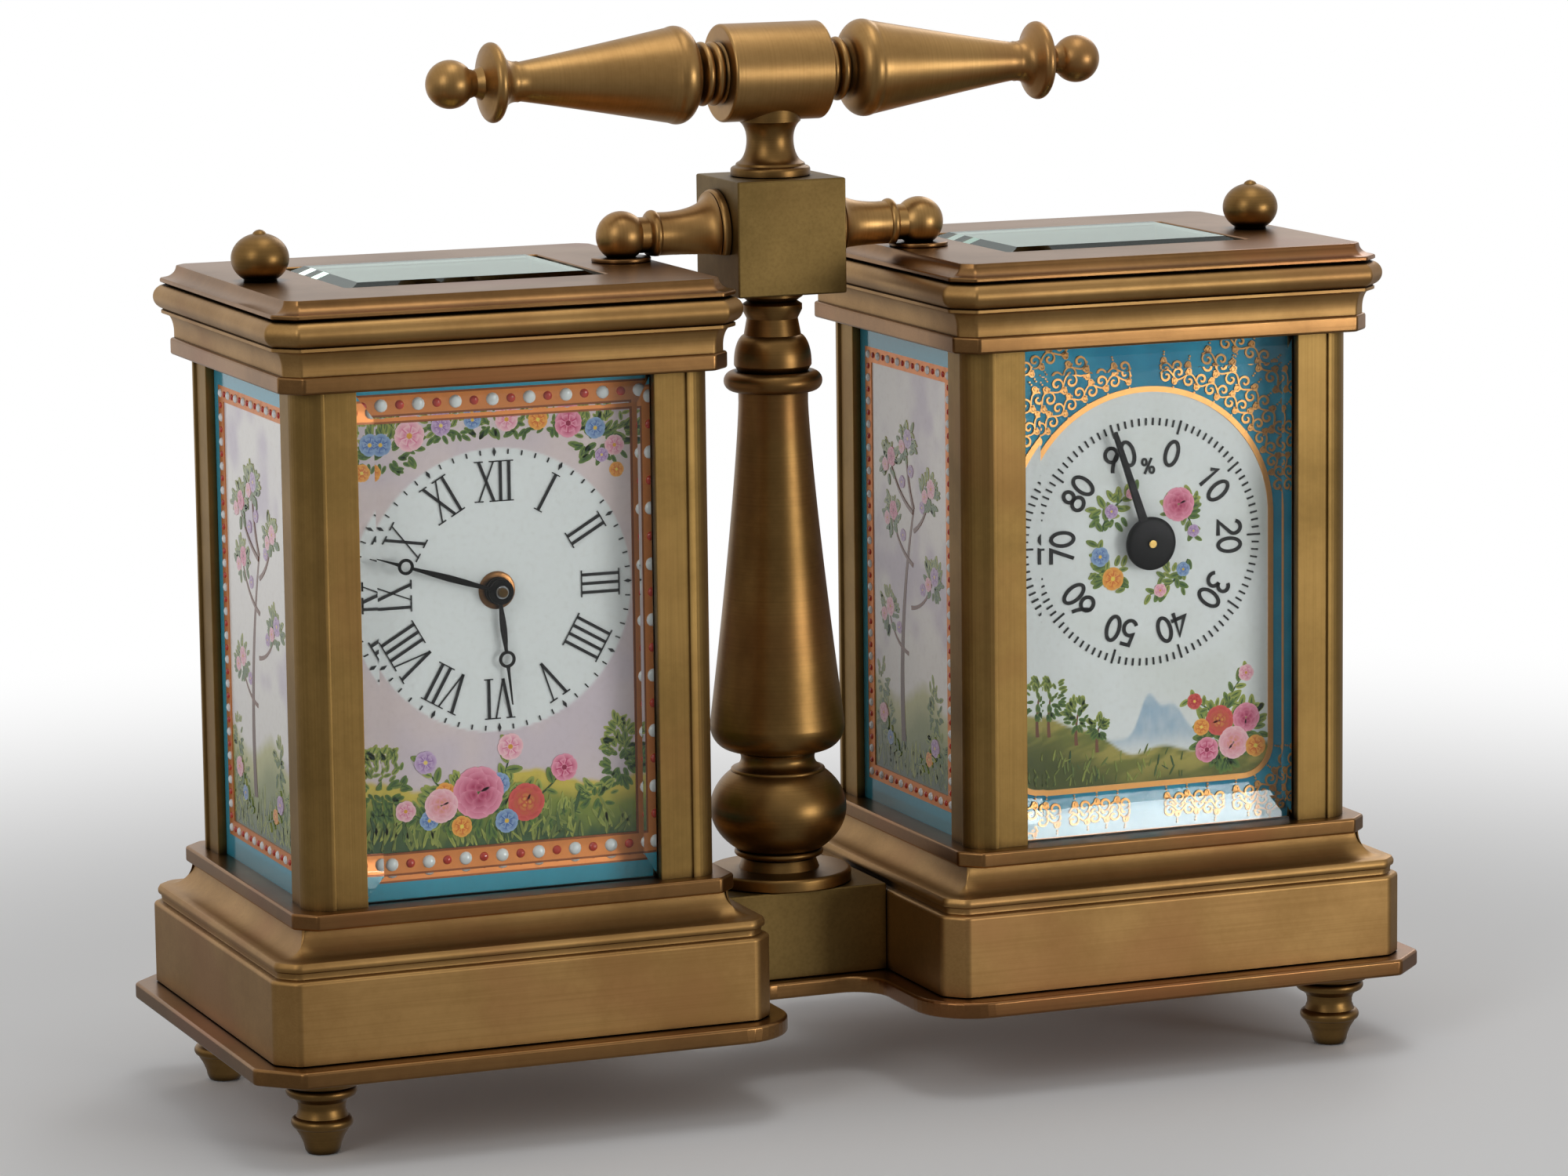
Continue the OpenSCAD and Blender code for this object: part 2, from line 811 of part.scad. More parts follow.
// The domed nut under the neck of the base plate
nut_r = 2.4;
nut_h = 1.7;

module tie_nut() {
    color(brass)
        difference() {
            translate([0, 0, base_z - nut_h])
                turned(oval(0, nut_h, nut_r, nut_h, 275, 360, 8), 32);
            translate([0, 0, rod_bottom_z])
                cylinder(h = nut_h, r = rod_r + rod_gap, $fn = 32);
        }
}

// The turned column: foot disc, bulb between two rings, bell, long taper, bead and neck
column_h = cube_bottom_z - link_top_z;
bulb_r = 7.8;
bell_r = 7.7;

module column_line() {
    head = column_h - 12.7;
    polygon(concat(
        [[rod_r + rod_gap, 0], [column_foot_r, 0], [column_foot_r, 1.1]],
        arc(column_foot_r - 0.4, 1.1, 0.4, 0, 90, 4),
        [[4.4, 1.6], [3.8, 2.0], [3.8, 2.8], [4.5, 3.0]],
        arc(4.7, 3.4, 0.4, -90, 70, 6),
        oval(0, 8.5, bulb_r, 5.95, -47, 45, 20),
        arc(5.1, 12.9, 0.3, -60, 80, 5),
        oval(5.6, 14.3, 1.4, 1.2, 240, 150, 5),
        [[4.3, 15.1], [5.2, 15.3]],
        oval(5.2, 18.1, bell_r - 5.2, 2.8, -90, 0, 10),
        taper(bell_r, 18.2, 3.95, head, 1.25, 14),
        arc(4.45, head + 2.5, 1.15, -110, 110, 10),
        [[4.1, head + 3.9], [4.4, head + 4.4]],
        oval(3.0, head + 4.6, 1.4, 3.2, 5, 80, 8),
        [[2.9, head + 9.6], [3.4, head + 10.6], [3.4, head + 11.2], [2.8, head + 11.6],
            [3.5, column_h - 0.6], [3.5, column_h], [rod_r + rod_gap, column_h]]));
}

module column() {
    color(brass)
        translate([0, 0, link_top_z])
            rotate_extrude($fn = turn_fn)
                column_line();
}

spigot_r = 1.2;
spigot_l = 2.6;
cube_edge = 0.3;
cube_diagonal = cube_side * sqrt(2);

module head_cube() {
    color(brass)
        difference() {
            translate([0, 0, cube_z])
                intersection() {
                    cube(cube_side, center = true);
                    rotate([0, 0, 45])
                        cube([cube_diagonal - cube_edge, cube_diagonal - cube_edge, 2 * cube_side],
                            center = true);
                }
            translate([0, 0, cube_bottom_z - cut_over])
                cylinder(h = cube_side + 2 * cut_over, r = rod_r + rod_gap, $fn = 32);
            for (s = [-1, 1])
                translate([s * (cube_side / 2 - spigot_l - 0.3), 0, arm_z])
                    rotate([0, s * 90, 0])
                        cylinder(h = spigot_l + cut_over, r = spigot_r + rod_gap, $fn = 32);
        }
}

// The waisted stem between the cube and the handle's barrel
stem_foot_r = 4.5;

module handle_stem() {
    color(brass)
        difference() {
            union() {
                translate([0, 0, cube_top_z])
                    turned(concat(
                        [[stem_foot_r, 0], [stem_foot_r, 0.7]],
                        arc(stem_foot_r - 0.4, 0.7, 0.4, 0, 90, 4),
                        [[3.9, 1.5]],
                        oval(3.95, 4.1, 1.3, 2.6, 250, 180, 6),
                        oval(3.95, 4.1, 1.3, 2.2, 180, 115, 6),
                        [[3.6, handle_rise - barrel_r + 1.2]]), 48);
                translate([0, 0, cube_top_z - cube_side * 0.3])
                    cylinder(h = cube_side * 0.3 + handle_rise - barrel_r + 2, r = rod_r, $fn = 32);
            }
            difference() {
                translate([0, 0, handle_z])
                    rotate([0, 90, 0])
                        cylinder(h = barrel_l, r = barrel_r, center = true, $fn = turn_fn);
                cylinder(h = handle_z, r = rod_r + eps, $fn = 32);
            }
        }
}

module handle_barrel() {
    color(brass)
        difference() {
            translate([0, 0, handle_z])
                rotate([0, 90, 0])
                    rotate_extrude($fn = turn_fn)
                        polygon([[spigot_r + rod_gap, -barrel_l / 2], [barrel_r - 0.35, -barrel_l / 2],
                            [barrel_r, -barrel_l / 2 + 0.35], [barrel_r, barrel_l / 2 - 0.35],
                            [barrel_r - 0.35, barrel_l / 2], [spigot_r + rod_gap, barrel_l / 2]]);
            translate([0, 0, handle_z - barrel_r - cut_over])
                cylinder(h = cut_over + 3, r = rod_r + rod_gap, $fn = 32);
        }
}

// One turned grip, drawn upwards from the barrel's end face
module grip() {
    ball_x = handle_ball_x - barrel_l / 2;
    ball_r = 2.7;
    flange_x = ball_x - 4.9;
    turned(concat(
        [[3.5, 0]],
        arc(3.1, 0.8, 0.5, -80, 80, 5),
        [[3.0, 1.45]],
        arc(3.1, 2.1, 0.5, -80, 80, 5),
        [[2.9, 2.9], [3.3, 3.3]],
        oval(3.2, 5.3, grip_r - 3.2, 2.0, -80, 25, 10),
        taper(grip_r - 0.22, 6.3, 2.2, flange_x - 3.2, 1.05, 10),
        oval(4.0, flange_x - 2.6, 1.75, 1.7, 190, 110, 5),
        arc(3.75, flange_x, 0.7, -70, 80, 8),
        [[3.0, flange_x + 1.1], [1.9, flange_x + 1.4], [1.45, flange_x + 2.1]],
        arc(0, ball_x, ball_r, -50, 88, 16)), 48);
    translate([0, 0, -barrel_l / 2 + 0.2])
        cylinder(h = barrel_l / 2, r = spigot_r, $fn = 32);
}

module handle_grips() {
    color(brass)
        for (s = [-1, 1])
            translate([s * barrel_l / 2, 0, handle_z])
                rotate([0, s * 90, 0])
                    grip();
}

// One turned arm, drawn upwards from the cube's side face
washer_t = 0.5;
washer_r = 3.35;
ball_flat = 0.5;
arm_z = lid_top_z + washer_t + arm_ball_r - ball_flat;
arm_ball_x = case_x - arm_in;
arm_foot_r = 4.75;

module arm() {
    ball_x = arm_ball_x - cube_side / 2;
    bead_x = ball_x - 3.4;
    turned(concat(
        [[arm_foot_r, 0], [arm_foot_r, 0.5]],
        arc(arm_foot_r - 0.4, 0.6, 0.4, 0, 80, 4),
        oval(4.5, bead_x - 1.6, 2.05, bead_x - 2.7, 270, 182, 10),
        arc(2.2, bead_x - 0.3, 0.55, -50, 80, 6),
        [[2.0, bead_x + 0.4]],
        arc(0, ball_x, arm_ball_r, -42, 88, 14)), 48);
    translate([0, 0, -spigot_l])
        cylinder(h = spigot_l + 1, r = spigot_r, $fn = 32);
}

module case_arms() {
    color(brass)
        difference() {
            for (s = [-1, 1])
                translate([s * cube_side / 2, 0, arm_z])
                    rotate([0, s * 90, 0])
                        arm();
            for (s = [-1, 1])
                translate([s * arm_ball_x, 0, 0]) {
                    translate([0, 0, lid_top_z + washer_t - cut_over])
                        cylinder(h = cut_over, r = washer_r + 1, $fn = 32);
                    translate([0, 0, lid_top_z])
                        cylinder(h = arm_z - lid_top_z, r = stud_r + rod_gap, $fn = 32);
                }
        }
}

module arm_washers() {
    color(copper_edge)
        for (s = [-1, 1])
            translate([s * arm_ball_x, 0, lid_top_z])
                difference() {
                    cylinder(h = washer_t, r = washer_r, $fn = 48);
                    translate([0, 0, -cut_over])
                        cylinder(h = washer_t + 2 * cut_over, r = stud_r + rod_gap, $fn = 32);
                }
}

module arm_studs() {
    color(steel)
        for (s = [-1, 1])
            translate([s * arm_ball_x, 0, stud_floor_z])
                cylinder(h = arm_z - 0.2 - stud_floor_z, r = stud_r, $fn = 32);
}

// A finial: a slightly flattened ball with a small point, on a stud through the lid
finial_h = 5.6;
finial_seat_r = 1.9;

module finials() {
    color(brass)
        for (s = [-1, 1])
            translate([s * (case_x + finial_out), 0, lid_top_z]) {
                turned(concat(
                    [[finial_seat_r, 0]],
                    oval(0, 0.4375 * finial_h, finial_r, 0.491 * finial_h, -58, 72, 16),
                    [[0.6, finial_h - 0.25], [0.0, finial_h]]), 48);
                translate([0, 0, -lid_t - stud_depth])
                    cylinder(h = lid_t + stud_depth + 1, r = stud_r, $fn = 32);
            }
}

// Outline points of a wheel or pinion: root, pitch and tip of each tooth, half widths as
// shares of the pitch
function tooth_ring(n, m, add, ded, root_w, pitch_w, tip_w) =
    let (w = [-root_w, -pitch_w, -tip_w, tip_w, pitch_w, root_w],
        r = [n * m / 2 - ded, n * m / 2, n * m / 2 + add, n * m / 2 + add, n * m / 2, n * m / 2 - ded])
    [for (i = [0:n - 1], k = [0:5])
        [r[k] * cos((i + w[k]) * 360 / n), r[k] * sin((i + w[k]) * 360 / n)]];

module wheel_teeth(n, m) {
    polygon(tooth_ring(n, m, 1.15 * m, 1.35 * m, 0.21, 0.2, 0.07));
}

module pinion_leaves(n, m) {
    polygon(tooth_ring(n, m, 0.55 * m, 1.45 * m, 0.15, 0.15, 0.06));
}

// Things that lie in the planes of the movement: drawn in XZ about an arbor, with Z of the
// drawing along +Y of the clock
module on_arbor(p, y) {
    translate([p[0], y, p[1]])
        rotate([-90, 0, 0])
            children();
}

// A wheel with its arms, seen along its arbor: rim, four arms and a boss
module crossed_wheel(n, m, t, turn, boss) {
    rim = n * m / 2 - 1.35 * m - 0.9;
    linear_extrude(t)
        rotate(turn) {
            difference() {
                wheel_teeth(n, m);
                circle(rim, $fn = 64);
            }
            for (a = [0:90:270])
                rotate(a)
                    translate([0, -0.45])
                        square([rim + 0.3, 0.9]);
            circle(boss, $fn = 32);
        }
}

// Modules of the gear pairs
great_m = 0.35;
centre_m = 0.3;
third_m = 0.25;
contrate_m = 0.234375;
motion_m = 0.2;

// Places of the arbors in the movement, as X and Z
centre_p = [0, dial_z];
barrel_p = centre_p - [0, (great_teeth + centre_leaves) * great_m / 2];
contrate_side = 6;
contrate_reach = 10.6;
contrate_p = centre_p + [contrate_side, sqrt(pow(contrate_reach, 2) - pow(contrate_side, 2))];
third_from_centre = (centre_teeth + third_leaves) * centre_m / 2;
third_from_contrate = (third_teeth + contrate_leaves) * third_m / 2;
third_along = (pow(third_from_centre, 2) - pow(third_from_contrate, 2) + pow(contrate_reach, 2))
    / (2 * contrate_reach);
third_off = sqrt(pow(third_from_centre, 2) - pow(third_along, 2));
to_contrate = (contrate_p - centre_p) / contrate_reach;
third_p = centre_p + third_along * to_contrate + third_off * [-to_contrate[1], to_contrate[0]];
contrate_r = contrate_teeth * contrate_m / 2;
escape_pinion_r = escape_leaves * contrate_m / 2;
minute_drop = (cannon_leaves + minute_teeth) * motion_m / 2;
minute_p = centre_p - [0, minute_drop];
hour_m = 2 * minute_drop / (minute_leaves + hour_teeth);

arbor_r = 0.6;
pivot_r = 0.35;
winding_r = 1.4;
centre_arbor_r = 0.5;

// Planes of the wheels along Y
great_y = train_y + 0.9;
great_t = 1.1;
barrel_h = 8.5;
centre_wheel_y = train_y + 12.9;
third_wheel_y = train_y + 3.9;
wheel_t = 0.7;
contrate_tip_y = train_y + 8.87;
contrate_add = 0.22;
contrate_tooth_l = 0.95;
contrate_disc_t = 0.7;
escape_y = contrate_tip_y - contrate_add + escape_pinion_r;

// Heights on the escapement platform
platform_rise = 2.4;
platform_z = contrate_p[1] + contrate_r + platform_rise;
platform_t = 1;
platform_top = platform_z + platform_t;
escape_wheel_z = platform_top + 1.1;
escape_cock_rise = 2.6;
escape_cock_z = platform_top + escape_cock_rise;
balance_rise = 4;
balance_z = platform_top + balance_rise;
cock_rise = 6.7;
cock_z = platform_top + cock_rise;
cock_t = 1;
spring_z = cock_z - 0.9;
collet_seat_r = 0.4;

// Turning of each toothed piece that puts a tooth in line with the next arbor
function heading(a, b) = atan2(b[1] - a[1], b[0] - a[0]);
function facing_tooth(a, b) = -heading(a, b);
function facing_gap(a, b, n) = -heading(a, b) + 180 / n;

plate_hole_over = mplate_t + 2 * cut_over;

module plate_hole(p, y, r) {
    on_arbor(p, y - cut_over)
        cylinder(h = plate_hole_over, r = r + pivot_gap, $fn = 32);
}

// Places of the four movement pillars and of the dial feet
function pillar_places() =
    [for (sx = [-1, 1], z = [post_z + 4, platform_z - 4]) [sx * (mplate_half_w - 2.3), z]];
pillar_r = 1.7;
tenon_r = 0.9;

module movement_plate(y) {
    difference() {
        translate([-mplate_half_w, y, post_z])
            cube([2 * mplate_half_w, mplate_t, platform_z - post_z]);
        for (p = pillar_places())
            plate_hole(p, y, tenon_r);
        plate_hole(third_p, y, pivot_r);
        plate_hole(contrate_p, y, pivot_r);
    }
}

// The front plate also carries the stud of the minute wheel
minute_stud_r = 0.5;

module front_movement_plate() {
    color(gilt)
        in_clock_case() {
            difference() {
                movement_plate(mplate_y);
                plate_hole(centre_p, mplate_y, centre_arbor_r);
                plate_hole(barrel_p, mplate_y, 1);
            }
            on_arbor(minute_p, dial_back_y + 0.3)
                cylinder(h = dial_feet_l + 0.2, r = minute_stud_r, $fn = 24);
        }
}

module rear_movement_plate() {
    color(gilt)
        in_clock_case()
            difference() {
                movement_plate(rear_mplate_y);
                plate_hole(centre_p, rear_mplate_y, arbor_r);
                plate_hole(barrel_p, rear_mplate_y, winding_r);
            }
}

module plate_pillars() {
    color(brass)
        in_clock_case()
            for (p = pillar_places())
                on_arbor(p, mplate_y) {
                    cylinder(h = mplate_gap + 2 * mplate_t, r = tenon_r, $fn = 24);
                    translate([0, 0, mplate_t])
                        cylinder(h = mplate_gap, r = pillar_r, $fn = 32);
                }
}

// The barrel: a toothed flange and a drum that turn on the winding arbor
module mainspring_barrel() {
    color(brass)
        in_clock_case()
            on_arbor(barrel_p, great_y)
                difference() {
                    union() {
                        linear_extrude(great_t)
                            rotate(facing_tooth(barrel_p, centre_p))
                                wheel_teeth(great_teeth, great_m);
                        cylinder(h = barrel_h, r = great_teeth * great_m / 2 - 1.8, $fn = turn_fn);
                    }
                    translate([0, 0, -cut_over])
                        cylinder(h = barrel_h + 2 * cut_over, r = winding_r + pivot_gap, $fn = 32);
                }
}

square_out = 4.2;
shoulder_r = 3.4;
winding_end_y = rear_mplate_back_y + square_out;

module winding_arbor() {
    color(steel)
        in_clock_case()
            difference() {
                union() {
                    on_arbor(barrel_p, mplate_y)
                        cylinder(h = mplate_t + 0.4, r = 1, $fn = 32);
                    on_arbor(barrel_p, train_y + 0.2)
                        cylinder(h = winding_end_y - train_y - 0.2, r = winding_r, $fn = 32);
                    on_arbor(barrel_p, rear_mplate_back_y + 0.1)
                        cylinder(h = 0.6, r = shoulder_r, $fn = 32);
                }
                // flats of the winding square
                for (a = [0:90:270])
                    translate([barrel_p[0], rear_mplate_back_y + 1.2, barrel_p[1]])
                        rotate([0, a, 0])
                            translate([-2 * winding_r, 0, winding_r / sqrt(2) + 0.06])
                                cube([4 * winding_r, square_out + 1, winding_r]);
            }
}

// The centre arbor, with its pinion behind the front plate and its wheel near the rear plate
centre_front_y = dial_y - 2.35;
centre_rear_y = rear_mplate_back_y + square_out;

module centre_wheel() {
    color(gilt)
        in_clock_case() {
            on_arbor(centre_p, centre_front_y)
                cylinder(h = train_y + 0.3 - centre_front_y, r = centre_arbor_r, $fn = 24);
            on_arbor(centre_p, train_y + 0.2)
                cylinder(h = centre_rear_y - train_y - 0.2, r = arbor_r, $fn = 24);
            on_arbor(centre_p, great_y - 0.4)
                linear_extrude(great_t + 0.8)
                    rotate(facing_gap(centre_p, barrel_p, centre_leaves))
                        pinion_leaves(centre_leaves, great_m);
            on_arbor(centre_p, centre_wheel_y)
                crossed_wheel(centre_teeth, centre_m, wheel_t, facing_tooth(centre_p, third_p), 1.8);
        }
}

module train_arbor(p) {
    on_arbor(p, mplate_y + 0.2)
        cylinder(h = mplate_gap + 2 * mplate_t - 0.4, r = pivot_r, $fn = 24);
    on_arbor(p, train_y + 0.2)
        cylinder(h = mplate_gap - 0.4, r = arbor_r, $fn = 24);
}

module third_wheel() {
    color(gilt)
        in_clock_case() {
            train_arbor(third_p);
            on_arbor(third_p, centre_wheel_y - 0.7)
                linear_extrude(wheel_t + 1.4)
                    rotate(facing_gap(third_p, centre_p, third_leaves))
                        pinion_leaves(third_leaves, centre_m);
            on_arbor(third_p, third_wheel_y)
                crossed_wheel(third_teeth, third_m, wheel_t, facing_tooth(third_p, contrate_p), 1.6);
        }
}

// The contrate wheel: a disc whose teeth stand up along the arbor from its rim
contrate_rim = 0.9;

module contrate_wheel() {
    color(gilt)
        in_clock_case() {
            train_arbor(contrate_p);
            on_arbor(contrate_p, third_wheel_y - 0.7)
                linear_extrude(wheel_t + 1.4)
                    rotate(facing_gap(contrate_p, third_p, contrate_leaves))
                        pinion_leaves(contrate_leaves, third_m);
            on_arbor(contrate_p, contrate_tip_y - contrate_tooth_l - contrate_disc_t)
                linear_extrude(contrate_disc_t) {
                    difference() {
                        circle(contrate_r + contrate_rim / 2, $fn = 64);
                        circle(contrate_r - 1.5, $fn = 64);
                    }
                    for (a = [0:90:270])
                        rotate(a)
                            translate([0, -0.45])
                                square([contrate_r - 1.2, 0.9]);
                    circle(1.5, $fn = 32);
                }
            on_arbor(contrate_p, contrate_tip_y - contrate_tooth_l - eps)
                for (i = [0:contrate_teeth - 1])
                    rotate(-90 + i * 360 / contrate_teeth)
                        translate([contrate_r - contrate_rim / 2, 0, 0])
                            rotate([90, 0, 90])
                                linear_extrude(contrate_rim)
                                    polygon([[-0.17, 0], [0.17, 0], [0.15, contrate_tooth_l - 0.3],
                                        [0.05, contrate_tooth_l], [-0.05, contrate_tooth_l],
                                        [-0.15, contrate_tooth_l - 0.3]]);
        }
}

// Places on the platform, as X and Y
escape_xy = [contrate_p[0], escape_y];
escape_r = 3.6;
lever_reach = 4.6;
lever_xy = escape_xy - [lever_reach, 0];
balance_xy = lever_xy - [lever_reach, 0];
platform_left = 3.6;
platform_right = 3;
platform_x0 = balance_xy[0] - balance_r - platform_left;
platform_x1 = escape_xy[0] + escape_r + platform_right;
staff_pivot_r = 0.25;
potence_drop = 2.2;
potence_z = contrate_p[1] + contrate_r - potence_drop;
potence_w = 2.4;
potence_reach = 3.6;
foot_w = 2.2;

module upright(p, z) {
    translate([p[0], p[1], z])
        children();
}

// The platform, with the potence under it, the lever's stud and the cock of the escape wheel
module escapement_platform() {
    color(gilt)
        in_clock_case()
            difference() {
                union() {
                    translate([platform_x0, mplate_y, platform_z])
                        cube([platform_x1 - platform_x0, rear_mplate_back_y - mplate_y, platform_t]);
                    translate([escape_xy[0] - potence_w / 2, escape_xy[1] + potence_reach - 1.4, potence_z])
                        cube([potence_w, 1.4, platform_z - potence_z + eps]);
                    translate([escape_xy[0] - potence_w / 2, contrate_tip_y + 0.12, potence_z])
                        cube([potence_w, escape_xy[1] + potence_reach - contrate_tip_y - 0.12, 0.9]);
                    upright(lever_xy, platform_top - eps)
                        cylinder(h = 1.7, r = 0.35, $fn = 24);
                    translate([escape_xy[0] + escape_r + 0.6, escape_xy[1] - 1.4, platform_top - eps])
                        cube([foot_w, 2.8, escape_cock_z - platform_top + 0.8 + eps]);
                    translate([escape_xy[0] - 1, escape_xy[1] - 1, escape_cock_z])
                        cube([escape_r + foot_w, 2, 0.8]);
                }
                upright(escape_xy, platform_z - cut_over)
                    cylinder(h = platform_t + 2 * cut_over, r = 0.8, $fn = 24);
                upright(escape_xy, potence_z - cut_over)
                    cylinder(h = 2 * cut_over + 0.9, r = staff_pivot_r + pivot_gap, $fn = 24);
                upright(escape_xy, escape_cock_z - cut_over)
                    cylinder(h = 2 * cut_over + 0.8, r = staff_pivot_r + pivot_gap, $fn = 24);
                upright(balance_xy, platform_z - cut_over)
                    cylinder(h = platform_t + 2 * cut_over, r = staff_pivot_r + pivot_gap, $fn = 24);
            }
}

// The escape wheel above the platform, on the arbor whose pinion runs in the contrate wheel
module escape_wheel() {
    color(gilt)
        in_clock_case() {
            upright(escape_xy, potence_z + 0.1)
                cylinder(h = escape_cock_z + 0.7 - potence_z - 0.1, r = staff_pivot_r, $fn = 24);
            upright(escape_xy, potence_z + 1)
                cylinder(h = escape_cock_z - 0.1 - potence_z - 1, r = 0.5, $fn = 24);
            upright(escape_xy, contrate_p[1] + contrate_r - 0.9)
                linear_extrude(1.9)
                    rotate(-90 + 180 / escape_leaves)
                        pinion_leaves(escape_leaves, contrate_m);
            upright(escape_xy, escape_wheel_z)
                linear_extrude(0.4) {
                    polygon([for (i = [0:escape_teeth - 1], k = [0:2])
                        let (a = (i + [0, 0.28, 0.62][k]) * 360 / escape_teeth,
                            r = [escape_r, escape_r - 0.25, escape_r - 0.95][k])
                        [r * cos(a), r * sin(a)]]);
                }
        }
}

// The lever: two pallet arms, a boss on the stud and a forked tail towards the balance
module pallet_lever() {
    color(steel)
        in_clock_case()
            upright(lever_xy, escape_wheel_z - 0.05)
                difference() {
                    union() {
                        translate([0, 0, -0.6])
                            cylinder(h = 1.2, r = 0.8, $fn = 32);
                        linear_extrude(0.5) {
                            for (s = [-1, 1]) {
                                polygon([[0, 0], [-0.4, s * 0.6], [1.0, s * 2.6], [1.6, s * 3.0],
                                    [1.8, s * 2.85], [1.25, s * 2.1], [0.5, s * 0.5]]);
                            }
                            translate([-3.0, -0.25])
                                square([3, 0.5]);
                            for (s = [-1, 1])
                                translate([-3.5, s * 0.5 - 0.18])
                                    square([0.9, 0.36]);
                            translate([-2.9, -0.6])
                                square([0.4, 1.2]);
                        }
                    }
                    translate([0, 0, -cut_over])
                        cylinder(h = 3 * cut_over, r = 0.35 + pivot_gap, $fn = 24);
                }
}

// The balance: a rim on two arms, its staff and the roller at the lever
module balance_wheel() {
    color(gilt)
        in_clock_case() {
            upright(balance_xy, platform_z + 0.2)
                cylinder(h = cock_z + 0.8 - platform_z - 0.2, r = staff_pivot_r, $fn = 24);
            upright(balance_xy, platform_top + 0.1)
                cylinder(h = spring_z - platform_top - 0.1, r = 0.5, $fn = 24);
            upright(balance_xy, spring_z - eps)
                cylinder(h = cock_z - 0.1 - spring_z + eps, r = collet_seat_r, $fn = 24);
            upright(balance_xy, escape_wheel_z)
                cylinder(h = 0.4, r = 0.85, $fn = 32);
            upright(balance_xy, balance_z)
                linear_extrude(0.9) {
                    difference() {
                        circle(balance_r, $fn = 64);
                        circle(balance_r - 0.8, $fn = 64);
                    }
                    translate([-balance_r + 0.4, -0.45])
                        square([2 * balance_r - 0.8, 0.9]);
                    circle(1.1, $fn = 32);
                }
        }
}

module balance_cock() {
    foot_x0 = platform_x0 + 0.3;
    color(gilt)
        in_clock_case()
            difference() {
                union() {
                    translate([foot_x0, balance_xy[1] - 2.4, platform_top])
                        cube([2.6, 4.8, cock_z - platform_top + cock_t]);
                    translate([foot_x0, balance_xy[1] - 1.3, cock_z])
                        cube([balance_xy[0] - foot_x0, 2.6, cock_t]);
                    upright(balance_xy, cock_z)
                        cylinder(h = cock_t, r = 2, $fn = 32);
                }
                upright(balance_xy, cock_z - cut_over)
                    cylinder(h = cock_t + 2 * cut_over, r = staff_pivot_r + pivot_gap, $fn = 24);
            }
}

// A flat spiral of even pitch, as the outline of a thin strip
function spiral_r(r0, r1, t) = r0 + (r1 - r0) * t;
function spiral_points(r0, r1, turns, w, steps) =
    concat(
        [for (i = [0:steps]) (spiral_r(r0, r1, i / steps) + w / 2)
            * [cos(360 * turns * i / steps), sin(360 * turns * i / steps)]],
        [for (i = [steps:-1:0]) (spiral_r(r0, r1, i / steps) - w / 2)
            * [cos(360 * turns * i / steps), sin(360 * turns * i / steps)]]);

module balance_spring() {
    spring_turns = 5;
    color(blued)
        in_clock_case()
            upright(balance_xy, spring_z) {
                linear_extrude(0.4)
                    polygon(spiral_points(0.9, 3.4, spring_turns, 0.12, 24 * spring_turns));
                difference() {
                    cylinder(h = 0.4, r = 0.95, $fn = 24);
                    translate([0, 0, -cut_over])
                        cylinder(h = 3, r = collet_seat_r + seat_gap, $fn = 24);
                }
            }
}

// Motion work between the front plate and the dial, and the hands in front of it
hour_pipe_r = 1.25;
hour_seat_r = 1.08;
cannon_tube_r = 0.85;
minute_seat_r = 0.72;
seat_gap = 0.01;
hour_hand_y = dial_y - 0.95;
minute_hand_y = dial_y - 1.75;
cannon_y = mplate_y - 0.95;
hour_wheel_y = mplate_y - 2.25;
motion_t = 0.5;

module cannon_pinion() {
    color(steel)
        in_clock_case()
            difference() {
                union() {
                    on_arbor(centre_p, cannon_y - 0.2)
                        linear_extrude(motion_t + 0.4)
                            rotate(facing_gap(centre_p, minute_p, cannon_leaves))
                                pinion_leaves(cannon_leaves, motion_m);
                    on_arbor(centre_p, minute_hand_y - 0.2)
                        cylinder(h = hand_t + 0.3, r = minute_seat_r, $fn = 32);
                    on_arbor(centre_p, minute_hand_y + hand_t)
                        cylinder(h = cannon_y - minute_hand_y - hand_t, r = cannon_tube_r, $fn = 32);
                }
                on_arbor(centre_p, minute_hand_y - cut_over)
                    cylinder(h = 8, r = centre_arbor_r + pivot_gap, $fn = 24);
            }
}

module minute_wheel() {
    color(gilt)
        in_clock_case()
            difference() {
                union() {
                    on_arbor(minute_p, cannon_y)
                        linear_extrude(motion_t)
                            rotate(facing_tooth(minute_p, centre_p))
                                wheel_teeth(minute_teeth, motion_m);
                    on_arbor(minute_p, hour_wheel_y - 0.1)
                        linear_extrude(cannon_y - hour_wheel_y + 0.2)
                            rotate(facing_gap(minute_p, centre_p, minute_leaves))
                                pinion_leaves(minute_leaves, hour_m);
                }
                on_arbor(minute_p, hour_wheel_y - cut_over)
                    cylinder(h = 6, r = minute_stud_r + pivot_gap, $fn = 24);
            }
}

module hour_wheel() {
    color(gilt)
        in_clock_case()
            difference() {
                union() {
                    on_arbor(centre_p, hour_wheel_y)
                        linear_extrude(motion_t)
                            rotate(facing_tooth(centre_p, minute_p))
                                wheel_teeth(hour_teeth, hour_m);
                    on_arbor(centre_p, hour_hand_y - 0.1)
                        cylinder(h = hand_t + 0.2, r = hour_seat_r, $fn = 32);
                    on_arbor(centre_p, hour_hand_y + hand_t)
                        cylinder(h = hour_wheel_y + 0.1 - hour_hand_y - hand_t, r = hour_pipe_r, $fn = 32);
                }
                on_arbor(centre_p, hour_hand_y - cut_over)
                    cylinder(h = 8, r = cannon_tube_r + pivot_gap, $fn = 32);
            }
}

